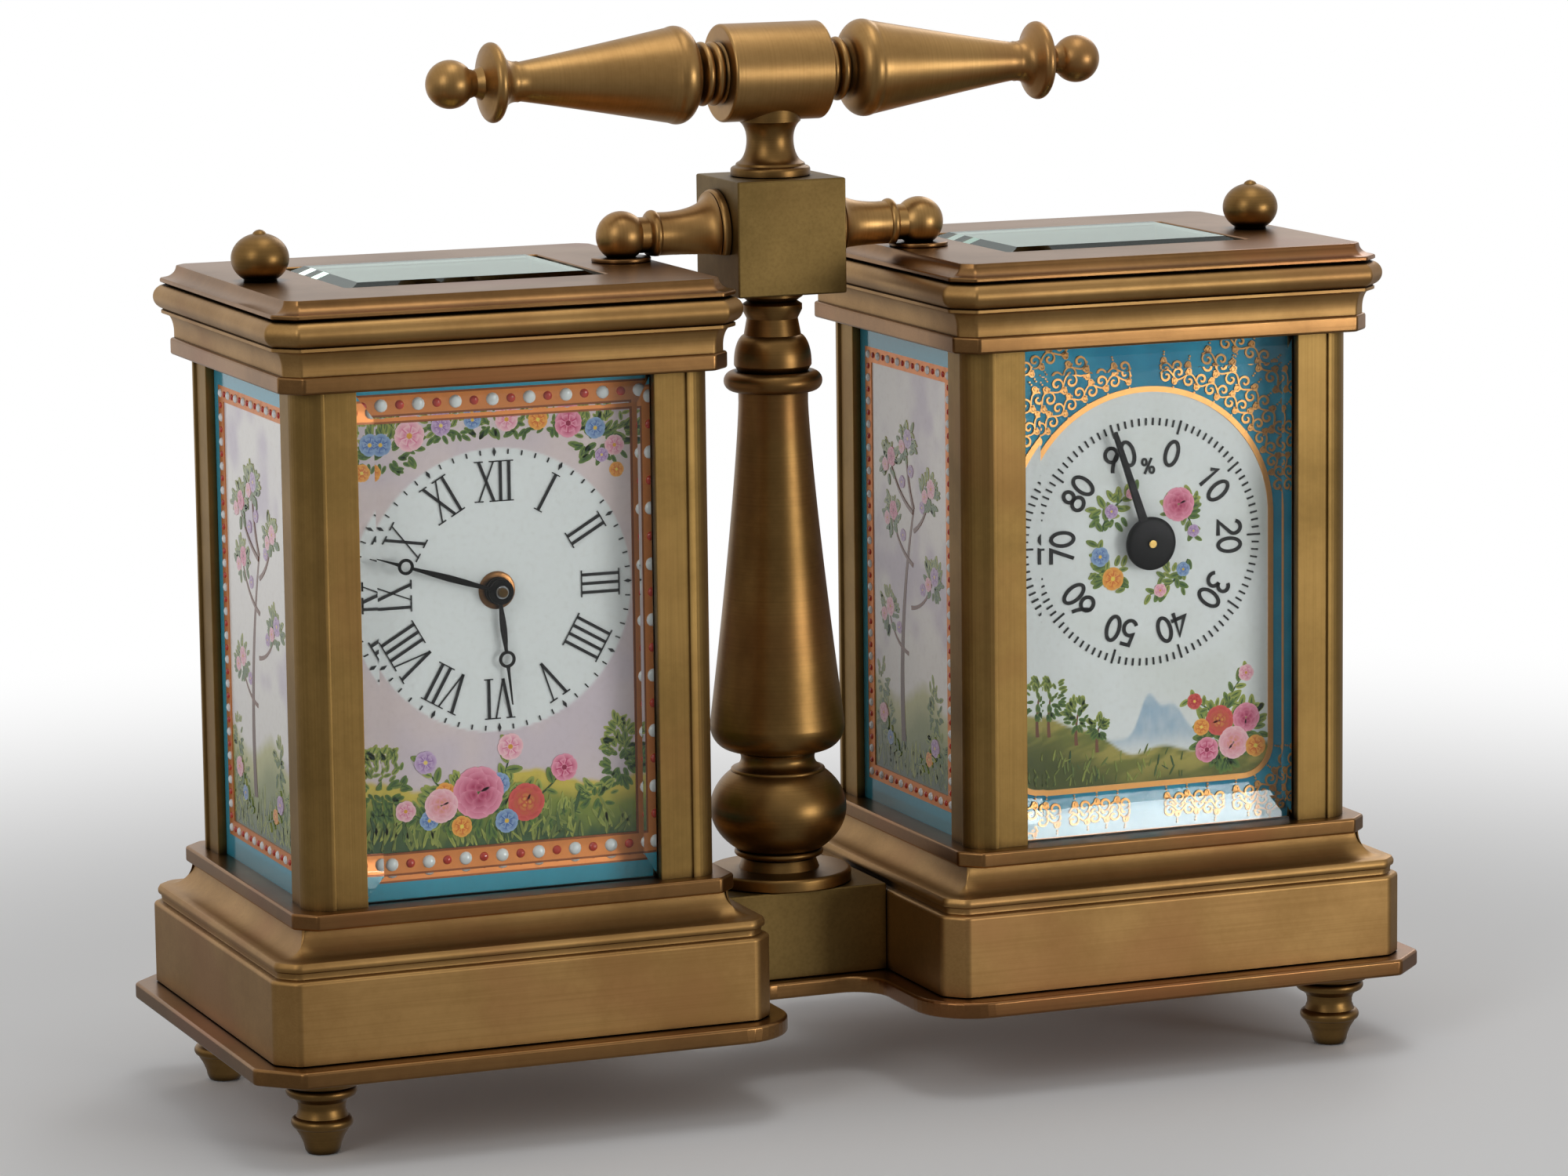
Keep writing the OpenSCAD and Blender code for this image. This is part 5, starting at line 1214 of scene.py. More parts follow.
@dataclass
class Brush:
    """Lays thin closed films of paint on a flat ground, each a little higher than the last.

    The ground is at height 0, and places are in millimetres across and up it.

    Each film starts at the foot, under the ground, and the next one's top is a step higher.
    """

    height: float = 0.01
    step: float = 0.0004
    foot: float = -0.02
    shapes: list[Shape] = field(default_factory=list)

    def films(
        self, outlines: Array, middle, rim, skin: int = 0, relief: float = 0.0, levels: int = 3
    ) -> None:
        """Lays closed films, each a fan about the mean of its outline.

        Args:
            outlines: outlines, (n, k, 2), anticlockwise.
            middle, rim, skin: colours of middle and edge, one or one for each film, and the material number.
            relief: how much higher the middle is.
            levels: number of heights that the films take in turn, so that neighbours differ.
        """
        n, k = outlines.shape[:2]
        top = self.height + self.step * (np.arange(n) % levels)
        self.height += self.step * min(n, levels)
        points = np.zeros((n, 2 * k + 2, 3))
        points[:, :k, :2] = outlines
        points[:, :k, 2] = top[:, None]
        points[:, k, :2] = outlines.mean(1)
        points[:, k, 2] = top + relief
        points[:, k + 1 :, :2] = points[:, : k + 1, :2]
        points[:, k + 1 :, 2] = self.foot
        a = np.arange(k)
        b = (a + 1) % k
        centre = np.full(k, k)
        fan = np.stack([centre, a, b, b], 1)
        side = np.stack([a + k + 1, b + k + 1, b, a], 1)
        under = np.stack([centre + k + 1, b + k + 1, a + k + 1, a + k + 1], 1)
        one = np.concatenate([fan, side, under])
        faces = (one[None] + (np.arange(n) * (2 * k + 2))[:, None, None]).reshape(-1, 4)
        colours = np.broadcast_to(np.asarray(rim, float).reshape(-1, 1, 3), points.shape).copy()
        colours[:, [k, 2 * k + 1]] = np.asarray(middle, float).reshape(-1, 1, 3)
        skins = np.full(len(faces), skin)
        self.shapes.append(Shape(points.reshape(-1, 3), faces, colours.reshape(-1, 3), skins))

    def flat(self, outlines: Array, colour: Colour, skin: int = 0, levels: int = 1) -> None:
        """Lays films of one colour."""
        self.films(outlines, colour, colour, skin, levels=levels)

    def stroke(self, path: Array, half: float | Array, colour, skin: int = 0, rise: bool = True) -> None:
        """Lays a strip along a path, closed all round.

        At a bend it is widened by one over the cosine of half the turn, at most twice.

        Args:
            path: points, (k, 2).
            half, colour: half its width and its colour, one or one for each point.
            skin: material number.
            rise: False if the next stroke may lie at the same height.
        """
        k = len(path)
        along = np.diff(path, axis=0)
        along /= np.linalg.norm(along, axis=1, keepdims=True) + 1e-9
        before, after = along[[0, *range(k - 1)]], along[[*range(k - 1), k - 2]]
        if np.allclose(path[0], path[-1]):
            before[0], after[-1] = along[-1], along[0]
        both = (before + after) / np.maximum(1 + (before * after).sum(1, keepdims=True), 0.5)
        left = np.column_stack([-both[:, 1], both[:, 0]]) * np.broadcast_to(half, k)[:, None]
        rings = np.zeros((k, 4, 3))
        rings[:, :2, :2] = (path - left)[:, None]
        rings[:, 2:, :2] = (path + left)[:, None]
        rings[:, [0, 3], 2] = self.height
        rings[:, [1, 2], 2] = self.foot
        self.height += self.step * rise
        last = 4 * (k - 1)
        ends = np.array([[3, 2, 1, 0], [last, last + 1, last + 2, last + 3]])
        faces = np.concatenate([grid_faces(k, 4, False), ends])
        colours = np.repeat(np.broadcast_to(np.asarray(colour, float), (k, 3)), 4, 0)
        self.shapes.append(Shape(rings.reshape(-1, 3), faces, colours, np.full(len(faces), skin)))

    def border(self, outer: tuple, inner: tuple, colour: Colour, skin: int = 0) -> None:
        """Lays a flat frame between two upright rectangles.

        Args:
            outer, inner: each half the width and the heights of the lower and upper edge.
            colour, skin: its colour and material number.
        """
        rings = [
            [(-half, low, z), (half, low, z), (half, high, z), (-half, high, z)]
            for (half, low, high), z in (
                (outer, self.foot), (outer, self.height), (inner, self.height), (inner, self.foot),
            )
        ]
        self.height += self.step
        self.shapes.append(loft(rings, ring_shaped=True).painted(colour, skin))

    def bead_rows(self, edge: tuple, step_w: float, step_h: float, radii: Pair) -> None:
        """Lays raised white beads at the corners and along a rectangle, with red ones between them.

        A bead is a dome whose radius and height are a cosine and a sine.

        Args:
            edge: half the width of the rectangle and the heights of its lower and upper edge.
            step_w, step_h: wanted distance from white to white, along the rows and the columns.
            radii: radius of the white and of the red beads.
        """
        half_w, low, high = edge
        across = np.linspace(-half_w, half_w, 2 * round(2 * half_w / step_w) + 1)
        up = np.linspace(low, high, 2 * round((high - low) / step_h) + 1)
        for which, radius, colour in ((0, radii[0], Paint.BEAD_WHITE), (1, radii[1], Paint.BEAD_RED)):
            profile = toward([0, 0, 28, 56, 78]) * [radius, 0.55 * radius] + [0, self.height]
            profile[0, 1] = self.foot
            dome = lathe(profile, 12)
            rows = [(x, z) for z in (low, high) for x in across[which::2]]
            inner = up[1::2] if which else up[2:-1:2]
            columns = [(x, z) for x in (-half_w, half_w) for z in inner]
            self.shapes.append(copies(dome, rows + columns).painted(colour))

    def blossom(self, at, radius: float, flower: Flower, count: int = 6, turn: float = 0.0) -> None:
        """Paints an open blossom: outer petals, inner petals, fine lines and a heart.

        Args:
            at, radius, flower: its centre, radius and colours.
            count, turn: number of petals, and how far they are turned, in degrees.
        """
        deep, pale, heart = flower.value
        for size, shift in ((radius, 0.0), (0.62 * radius, 0.5)):
            angle = turn + (np.arange(count) + shift) * 360 / count
            self.films(petals(at, angle, size, 1.05 * size, 0.3), deep, pale)
        angle = turn + np.arange(count) * 360 / count
        ring = at + 0.2 * radius * toward(angle)
        self.flat(petals(ring, angle, 0.5 * radius, 0.1 * radius, 0.0, 6), deep)
        self.films(ring[None], heart, heart, relief=0.01)

    def rose(self, at, radius: float, flower: Flower, turn: float = 0.0) -> None:
        """Paints a full rose: four rounds of petals, each smaller and turned, darker towards the heart.

        Args:
            at, radius, flower: its centre, radius and colours.
            turn: how far it is turned, in degrees.
        """
        deep, pale, heart = (np.array(c) for c in flower.value)
        for k, (count, share) in enumerate(((7, 1.0), (6, 0.78), (5, 0.55), (3, 0.34))):
            angle = turn + 23 * k + np.arange(count) * 360 / count
            feet = at + 0.12 * radius * share * toward(angle)
            size = 0.9 * radius * share
            tone = 0.25 * k
            middle, rim = deep * (1 - tone) + heart * tone, pale * (1 - tone) + deep * tone
            self.films(petals(feet, angle, size, 1.15 * size, 0.25), middle, rim, levels=4)

    def leaves(self, feet: Array, angle: Array, length: Array, light: Array) -> None:
        """Paints leaves, each with a dark midrib.

        Args:
            feet, angle, length: their feet, directions in degrees and lengths.
            light: how pale each is, from 0 to 1.
        """
        middle = blend(Paint.DARK_LEAF, Paint.LEAF, light)
        rim = blend(Paint.LEAF, Paint.PALE_LEAF, light)
        self.films(petals(feet, angle, length, 0.46 * length, -0.15), middle, rim, levels=7)
        self.flat(petals(feet, angle, 0.8 * length, 0.07 * length, 0.0, 6), Paint.DARK_LEAF)

    def foliage(
        self, centre, size: Pair, count: int, seed: int, leaf: float = 1.1, dark: float = 0.3
    ) -> None:
        """Paints a clump of leaves, seeded and thicker towards its middle.

        Args:
            centre, size: its middle, and half its width and height.
            count, seed: number of leaves, and the number that their places start from.
            leaf, dark: mean length of a leaf, and how dark the lower leaves are.
        """
        draws = np.random.default_rng(seed)
        radius, angle = np.sqrt(draws.random(count)), draws.random(count) * 360
        away = radius[:, None] * toward(angle)
        feet = centre + away * size
        turn = np.degrees(np.arctan2(away[:, 1] + 0.3, away[:, 0])) + draws.normal(0, 35, count)
        light = np.clip(0.5 + 0.45 * away[:, 1] + draws.normal(0, 0.2, count) - dark * (away[:, 1] < 0), 0, 1)
        length = leaf * (0.7 + 0.6 * draws.random(count))
        order = np.argsort(light)
        self.leaves(feet[order], turn[order], length[order], light[order])

    def spray(self, start, end, sag: float, flowers: list, leaf: float = 1.5, seed: int = 0) -> None:
        """Paints a sprig: a bowed stem with leaves on both sides and blossoms along it.

        Args:
            start, end, sag: ends of the stem, and how far it bows to its left.
            flowers: for each blossom its share along the stem, its flower and its radius.
            leaf, seed: length of the leaves, and the number that their directions start from.
        """
        draws = np.random.default_rng(seed)
        path = bent(start, end, sag)
        n = len(path)
        self.stroke(path, np.linspace(0.14, 0.06, n), Paint.DARK_LEAF)
        along = np.gradient(path, axis=0)
        heading = np.degrees(np.arctan2(along[:, 1], along[:, 0]))
        side = np.where(np.arange(n) % 2 == 0, 1, -1)
        turn = heading + side * (48 + draws.normal(0, 10, n))
        self.leaves(path, turn, leaf * (0.8 + 0.4 * draws.random(n)), draws.random(n))
        for share, flower, radius in flowers:
            at = path[int(share * (n - 1))]
            if flower in (ROSE, RED) and radius > 1.6:
                self.rose(at, radius, flower, 40 * share)
            else:
                self.blossom(at, radius, flower, 5 + int(radius > 1.2), 70 * share)

    def blades(self, low: float, spread: Pair, count: int, seed: int, tall: float = 2.2) -> None:
        """Paints blades of grass and small ferns along the foot of a picture.

        Args:
            low, spread: height of their feet, and where they start and end across.
            count, seed: their number, and the number that their places start from.
            tall: their mean height.
        """
        draws = np.random.default_rng(seed)
        x = spread[0] + (spread[1] - spread[0]) * draws.random(count)
        feet = np.column_stack([x, low + 3.2 * draws.random(count) ** 2])
        length = tall * (0.5 + 0.8 * draws.random(count))
        outlines = petals(feet, 90 + draws.normal(0, 24, count), length, 0.16 * length, -0.2, 8)
        tone = draws.random(count)
        rims = blend(Paint.DARK_LEAF, Paint.PALE_LEAF, tone)
        self.films(outlines, blend(Paint.SHADE, Paint.GRASS, tone), rims, levels=9)

    def curl(self, at: Array, size: float, angle: float, turns: float, hand: int, half: float) -> None:
        """Paints a gilt curl: a spiral whose radius falls evenly as it turns, starting at a point.

        Args:
            at, angle: where it starts, and the direction from there to its middle in degrees.
            size, turns: its first radius, and how many turns it makes.
            hand: 1 for anticlockwise and -1 for clockwise.
            half: half the width of the line.
        """
        s = np.linspace(0, 1, 16)
        middle = at + size * toward(angle)
        path = middle + (size * (1 - 0.82 * s))[:, None] * toward(angle + 180 + hand * 360 * turns * s)
        self.stroke(path, half * (0.55 + 0.75 * np.sin(np.pi * s)), Paint.GOLD, 1, rise=False)

    def vine(self, path: Array, sway: float, waves: float, size: float) -> None:
        """Paints a gilt vine: a line that sways about a path, with a curl, leaves and dots in each bend.

        The line stands off its path by the sway times the sine of a steadily growing phase.

        Args:
            path: points of the path.
            sway, waves: how far it sways to each side, and how often.
            size: radius of the curls.
        """
        way, place = spaced(path, int(14 * waves) + 2)
        along = np.gradient(way, axis=0)
        along /= np.linalg.norm(along, axis=1, keepdims=True)
        left = np.column_stack([-along[:, 1], along[:, 0]])
        phase = 2 * np.pi * waves * place / place[-1]
        swaying = way + left * (sway * np.sin(phase))[:, None]
        self.stroke(swaying, 0.085, Paint.GOLD, 1, rise=False)
        for k in range(int(2 * waves)):
            i = int(np.argmin(np.abs(phase - np.pi * (k + 0.25))))
            hand = -1 if k % 2 == 0 else 1
            heading = math.degrees(math.atan2(along[i, 1], along[i, 0]))
            start = swaying[i]
            self.curl(start, size, heading + 62 * hand, 1.05, -hand, 0.1)
            self.curl(start, 0.6 * size, heading - 75 * hand, 0.85, hand, 0.08)
            turn = heading - hand * np.array([40.0, 95.0, 150.0])
            leaf = np.array([0.8, 0.95, 0.65]) * size
            self.flat(petals(start, turn, leaf, 0.42 * leaf, 0.1, 8), Paint.GOLD, 1)
            dots = start - hand * left[i] * np.array([[1.45], [1.9]]) * size
            self.flat(dots[:, None] + 0.11 * toward(np.arange(0, 360, 60)), Paint.GOLD, 1)


def front_grid(
    edge: tuple, hole_r: float, size: tuple[int, int], ground: Callable, thickness: float
) -> Shape:
    """A flat plate with a round hole, whose front is a grid of points with a painted ground.

    Each row of the grid is a share of the way from the circle to the rectangle, and the mesh's
    rings go up the inner edge, over the front and down the outer edge.

    Args:
        edge: half the width of the rectangle and the heights of its lower and upper edge.
        hole_r, size: radius of the hole, at the origin, and rows and columns of the grid.
        ground, thickness: gives a colour for each place across and up, and the plate's thickness.

    Returns:
        The closed mesh.
    """
    half_w, low, high = edge
    corners = np.array([[half_w, low], [half_w, high], [-half_w, high], [-half_w, low], [half_w, low]])
    outside = spaced(corners, size[1], closed=True)[0]
    hole = hole_r * outside / np.linalg.norm(outside, axis=1, keepdims=True)
    share = np.linspace(0, 1, size[0])[:, None, None]
    front = np.pad((1 - share) * hole + share * outside, ((0, 0), (0, 0), (0, 1)))
    back = [front[[row]] - [0, 0, thickness] for row in (0, -1)]
    white = np.broadcast_to(Paint.WHITE, back[0].shape)
    colours = np.concatenate([white, ground(front[..., 0], front[..., 1]), white]).reshape(-1, 3)
    faces = grid_faces(size[0] + 2, size[1], True)[:, ::-1]
    points = np.concatenate([back[0], front, back[1]]).reshape(-1, 3)
    return Shape(points, faces, colours, np.zeros(len(faces), int))


def on_ring(points: Array, degrees: float) -> Array:
    """Points turned clockwise about a dial's centre."""
    a = math.radians(degrees)
    return points @ np.array([[math.cos(a), -math.sin(a)], [math.sin(a), math.cos(a)]])


class Numerals:
    """Numerals as strokes. Each digit's strokes are paths in shares of its height."""

    DIGITS = {
        "0": [arc(0.28, 0.5, 0.27, 90, 450, 24, 0.5)],
        "1": [line([0.08, 0.76], [0.3, 1.0], [0.3, 0.0])],
        "2": [line(arc(0.28, 0.72, 0.26, 165, -42, 14, 0.28), [0.02, 0.0], [0.6, 0.0])],
        "3": [line(arc(0.26, 0.76, 0.23, 150, -90, 12, 0.24), arc(0.26, 0.26, 0.28, 90, -150, 14, 0.26))],
        "4": [line([0.44, 0.0], [0.44, 1.0], [0.0, 0.3], [0.62, 0.3])],
        "5": [line([0.52, 1.0], [0.12, 1.0], [0.06, 0.54], arc(0.26, 0.31, 0.28, 125, -150, 16, 0.31))],
        "6": [line(bent([0.46, 1.0], [0.02, 0.34], 0.06), arc(0.29, 0.29, 0.27, 180, 540, 22, 0.29))],
        "7": [line([0.0, 1.0], [0.58, 1.0], [0.2, 0.0])],
        "8": [arc(0.28, 0.76, 0.21, 90, 450, 18, 0.24), arc(0.28, 0.26, 0.27, 90, 450, 20, 0.26)],
        "9": [line(bent([0.12, 0.0], [0.56, 0.66], 0.06), arc(0.29, 0.71, 0.27, 0, 360, 22, 0.29))],
        "%": [
            arc(0.16, 0.76, 0.15, 0, 360, 14, 0.2),
            arc(0.68, 0.24, 0.15, 0, 360, 14, 0.2),
            line([0.66, 1.0], [0.18, 0.0]),
        ],
    }
    DIGIT_W = 0.72
    DIGIT_MARGIN = 0.08
    ROMAN_W = {"I": 0.98, "V": 2.3, "X": 2.3}
    THICK, THIN, SERIF, REACH = 0.165, 0.07, 0.06, 0.5
    BARS = {
        "I": [(0, 1, 0, 0, THICK)],
        "V": [(-0.85, 1, 0, 0, THICK), (0, 0, 0.85, 1, THIN)],
        "X": [(-0.85, 1, 0.85, 0, THICK), (-0.85, 0, 0.85, 1, THIN)],
    }
    ENDS = {
        "I": [(0, 0), (0, 1)],
        "V": [(-0.85, 1), (0.85, 1)],
        "X": [(-0.85, 0), (0.85, 0), (-0.85, 1), (0.85, 1)],
    }

    @classmethod
    def number(
        cls, brush: Brush, text: str, degrees: float, radius: float, height: float, half: float
    ) -> None:
        """Paints a number whose tops point outwards.

        Args:
            brush, text, degrees: the brush, the number, and its place clockwise from the top.
            radius, height, half: radius of its middle, its height, and half the width of its lines.
        """
        for i, digit in enumerate(text):
            shift = (i - len(text) / 2) * cls.DIGIT_W + cls.DIGIT_MARGIN
            for path in cls.DIGITS[digit]:
                placed = (path + [shift, -0.5]) * height + [0, radius]
                brush.stroke(on_ring(placed, degrees), half, Paint.BLACK, rise=False)

    @classmethod
    def roman(cls, brush: Brush, text: str, degrees: float, inner: float, height: float) -> None:
        """Paints a Roman numeral with thick and thin strokes and fine serifs, its top outwards.

        Args:
            brush, text, degrees: the brush, the numeral, and its place clockwise from the top.
            inner, height: radius of its foot, and its height.
        """
        x = -sum(cls.ROMAN_W[letter] for letter in text) / 2
        for letter in text:
            middle = x + cls.ROMAN_W[letter] / 2
            x += cls.ROMAN_W[letter]
            serifs = [(a - cls.REACH, z, a + cls.REACH, z, cls.SERIF) for a, z in cls.ENDS[letter]]
            for *ends, half in cls.BARS[letter] + serifs:
                path = np.reshape(ends, (2, 2)) * [1, height] + [middle, inner]
                brush.stroke(on_ring(path, degrees), half, Paint.BLACK, rise=False)


def ticks(
    brush: Brush, count: int, inner: float, outer: float, half: float, skip: int = 0, turn: float = 0.0
) -> None:
    """Paints short radial marks round a dial.

    Args:
        brush, count: the brush, and their number.
        inner, outer, half: radii of their ends, and half their width.
        skip: leaves out each mark whose number this divides, if it isn't 0.
        turn: how far the first is turned, clockwise in degrees.
    """
    mark = np.array([[-half, inner], [half, inner], [half, outer], [-half, outer]])
    kept = [i for i in range(count) if not skip or i % skip]
    brush.flat(np.stack([on_ring(mark, turn + 360 * i / count) for i in kept]), Paint.BLACK)


@dataclass
class Dial:
    """What both dials share: the porcelain plate with its feet, the size and the place.

    Sizes in millimetres. The centre, the depth and the edges come from the dial's node.
    """

    side: Side
    hole_r: float
    grid: tuple[int, int] = (112, 600)
    thickness: float = 1.4
    foot_x: float = 14.5
    foot_dz: float = 16.0
    foot_r: float = 0.9
    band: float = 1.9
    centre_h: float = 32.8
    brush: Brush = field(default_factory=Brush)

    def __post_init__(self) -> None:
        """Measures the dial's node."""
        self.node = f"{self.side.word}_dial"
        box_low, box_high = node_box(self.node)
        self.centre = np.array([(box_low[0] + box_high[0]) / 2, box_low[1], box_low[2] + self.centre_h])
        self.half_w = (box_high[0] - box_low[0]) / 2
        self.low, self.high = box_low[2] - self.centre[2], box_high[2] - self.centre[2]
        self.depth = box_high[1] - box_low[1]

    @property
    def edge(self) -> tuple[float, float, float]:
        """Half the width of the plate and the heights of its lower and upper edge."""
        return self.half_w, self.low, self.high

    def finish(self) -> None:
        """Makes the piece from the plate, its four feet and what the brush has painted."""
        plate = front_grid(self.edge, self.hole_r, self.grid, self.ground, self.thickness)
        foot = lathe(np.array([[self.foot_r, -self.depth], [self.foot_r, -self.thickness / 2]]), 20)
        feet = copies(foot, [(sx * self.foot_x, sz * self.foot_dz) for sx in (-1, 1) for sz in (-1, 1)])
        shape = joined([plate, feet.painted(Paint.WHITE), *self.brush.shapes]).placed(DIAL_AXES, self.centre)
        make_piece(f"{self.node}_painted", self.node, shape, GLAZE, GILDING, slot=Slot.WHITE, smooth=40)


@dataclass
class ClockDial(Dial):
    """The clock's dial: a white ring with Roman numerals over a meadow, in a beaded border."""

    side: Side = Side.CLOCK
    hole_r: float = 1.73
    ring_r: float = 15.6
    band_in: float = 15.85
    band_out: float = 18.0
    band_h: float = 2.3
    edge_low: float = 0.4
    line_half: float = 0.12
    numeral_in: float = 9.8
    numeral_h: float = 4.35
    collar: tuple = (
        (1.35, -1.4), (1.7, -1.4), (1.7, 0), (2.02, 0), (2.1, 0.06), (2.06, 0.18), (1.9, 0.25), (1.45, 0.24),
        (1.35, 0.14),
    )

    def ground(self, u: Array, v: Array) -> Array:
        """Colours of the ground: a lilac sky, a meadow that darkens downwards, and the white ring."""
        colour = blend(Paint.LILAC, Paint.ROSE_MIST, ease(wash(u, v, 7, 3), 0.25, 0.75))
        depth = -21.2 + np.sin(0.33 * u + 0.6) - v + 1.3 * (wash(u, v, 2.4, 5) - 0.5)
        meadow = blend(Paint.SUNLIT, Paint.GRASS, ease(depth, 0.6, 3.2))
        meadow = blend(meadow, Paint.SHADE, ease(depth + 2.2 * (wash(2 * u, v, 2.2, 9) - 0.5), 2.8, 6.5))
        colour = blend(colour, meadow, ease(depth, -0.35, 0.35))
        return blend(colour, Paint.WHITE, ease(self.ring_r - np.hypot(u, v), -0.12, 0.12))

    def paint_border(self) -> None:
        """Paints the turquoise edge and the beaded band."""
        low, high = self.low + self.band + self.edge_low, self.high - self.band
        outer = (self.band_out, low, high)
        inner = (self.band_in, low + self.band_h, high - self.band_h)
        self.brush.border(self.edge, outer, Paint.TURQUOISE)
        self.brush.border(outer, inner, Paint.BAND, 1)
        grown = np.array([1, -1, 1]) * self.line_half
        for edge in (inner, outer):
            self.brush.border(tuple(edge + grown), tuple(edge - grown), Paint.BAND_LINE, 1)
        middle = self.band_h / 2
        rows = ((self.band_in + self.band_out) / 2, low + middle, high - middle)
        self.brush.bead_rows(rows, 4.14, 6.2, (0.74, 0.52))

    def paint_garland(self) -> None:
        """Paints leaves and blossoms in both top corners and across the top."""
        v = self.high - self.band - 3.1
        for mirror in (-1, 1):
            self.brush.foliage((mirror * 12.4, v - 1.7), (3.3, 3.0), 85, 20 + mirror, 1.25)
            self.brush.foliage((mirror * 5.6, v - 0.1), (4.6, 1.1), 60, 30 + mirror, 1.15)
        self.brush.foliage((0, v + 0.1), (3.4, 0.9), 34, 33, 1.1)
        for x, dv, radius, flower in (
            (-9.6, -0.8, 1.75, PINK), (-12.9, -1.6, 1.25, BLUE), (-13.9, -4.6, 1.0, ORANGE),
            (-6.0, 0.1, 1.15, LILAC), (-2.4, 0.5, 1.0, BLUE), (1.5, 0.35, 1.35, PINK),
            (5.1, 0.1, 1.15, ORANGE), (8.6, -0.5, 1.6, ROSE), (11.7, -1.2, 1.2, BLUE),
            (13.9, -3.2, 1.15, PINK), (14.1, -5.9, 0.85, ORANGE), (12.4, -4.2, 0.8, LILAC),
        ):
            self.brush.blossom((x, v + dv), radius, flower, 6, 17 * x)

    def paint_meadow(self) -> None:
        """Paints shrubs, grass and a loose bunch of flowers along the foot of the picture."""
        for x, z, size, count, seed in (
            (-13.4, -20.4, (2.2, 3.4), 90, 41), (14.0, -19.0, (1.6, 3.8), 90, 42),
            (11.2, -23.6, (1.6, 1.2), 30, 43), (-9.4, -24.6, (2.4, 1.3), 34, 44),
            (6.2, -25.4, (2.6, 0.9), 26, 45),
        ):
            self.brush.foliage((x, z), size, count, seed, 1.15, 0.45)
        self.brush.blades(self.low + self.band + 2.7, (-15.2, 15.2), 150, 46)
        self.brush.foliage((-2.4, -23.4), (6.6, 2.9), 120, 48, 1.5, 0.4)
        for start, end, sag, near, far, leaf, seed in (
            ((-3.5, -24.0), (1.2, -17.4), -1.2, (0.55, BLUE, 1.25), (1.0, PINK, 1.5), 1.7, 51),
            ((-2.8, -24.2), (-8.6, -18.4), 1.0, (0.55, ORANGE, 1.25), (1.0, LILAC, 1.3), 1.6, 52),
            ((-1.4, -24.4), (7.4, -20.2), -1.4, (0.55, ORANGE, 1.2), (1.0, ROSE, 1.55), 1.7, 53),
            ((-4.0, -24.6), (-11.0, -23.6), 0.9, (0.6, BLUE, 1.1), (1.0, PINK, 1.2), 1.5, 54),
        ):
            self.brush.spray(start, end, sag, [near, far], leaf, seed)
        self.brush.rose((-2.6, -22.2), 2.9, ROSE, 12)
        self.brush.rose((2.9, -23.7), 2.1, RED, 50)
        self.brush.rose((-6.9, -23.3), 1.9, PINK, 10)
        self.brush.blossom((0.6, -25.6), 1.35, BLUE, 6, 20)
        self.brush.blossom((-4.6, -25.8), 1.2, ORANGE, 6, 35)

    def paint_ring(self) -> None:
        """Paints the minute marks and the numerals."""
        ticks(self.brush, 60, 14.95, 15.5, 0.065, 5)
        diamond = np.array([[0, 14.7], [0.2, 15.2], [0, 15.65], [-0.2, 15.2]])
        self.brush.flat(np.stack([on_ring(diamond, 30 * i) for i in range(12)]), Paint.BLACK, levels=3)
        for i, text in enumerate("XII I II III IIII V VI VII VIII IX X XI".split()):
            Numerals.roman(self.brush, text, 30 * i, self.numeral_in, self.numeral_h)

    def build(self) -> None:
        """Builds and paints the dial, and its copper collar."""
        self.paint_garland()
        self.paint_meadow()
        self.paint_ring()
        self.paint_border()
        self.finish()
        collar = lathe(np.array(self.collar), 72, hollow=True).placed(DIAL_AXES, self.centre)
        make_piece("dial_collar_turned", "dial_collar", collar, Brass.COPPER)


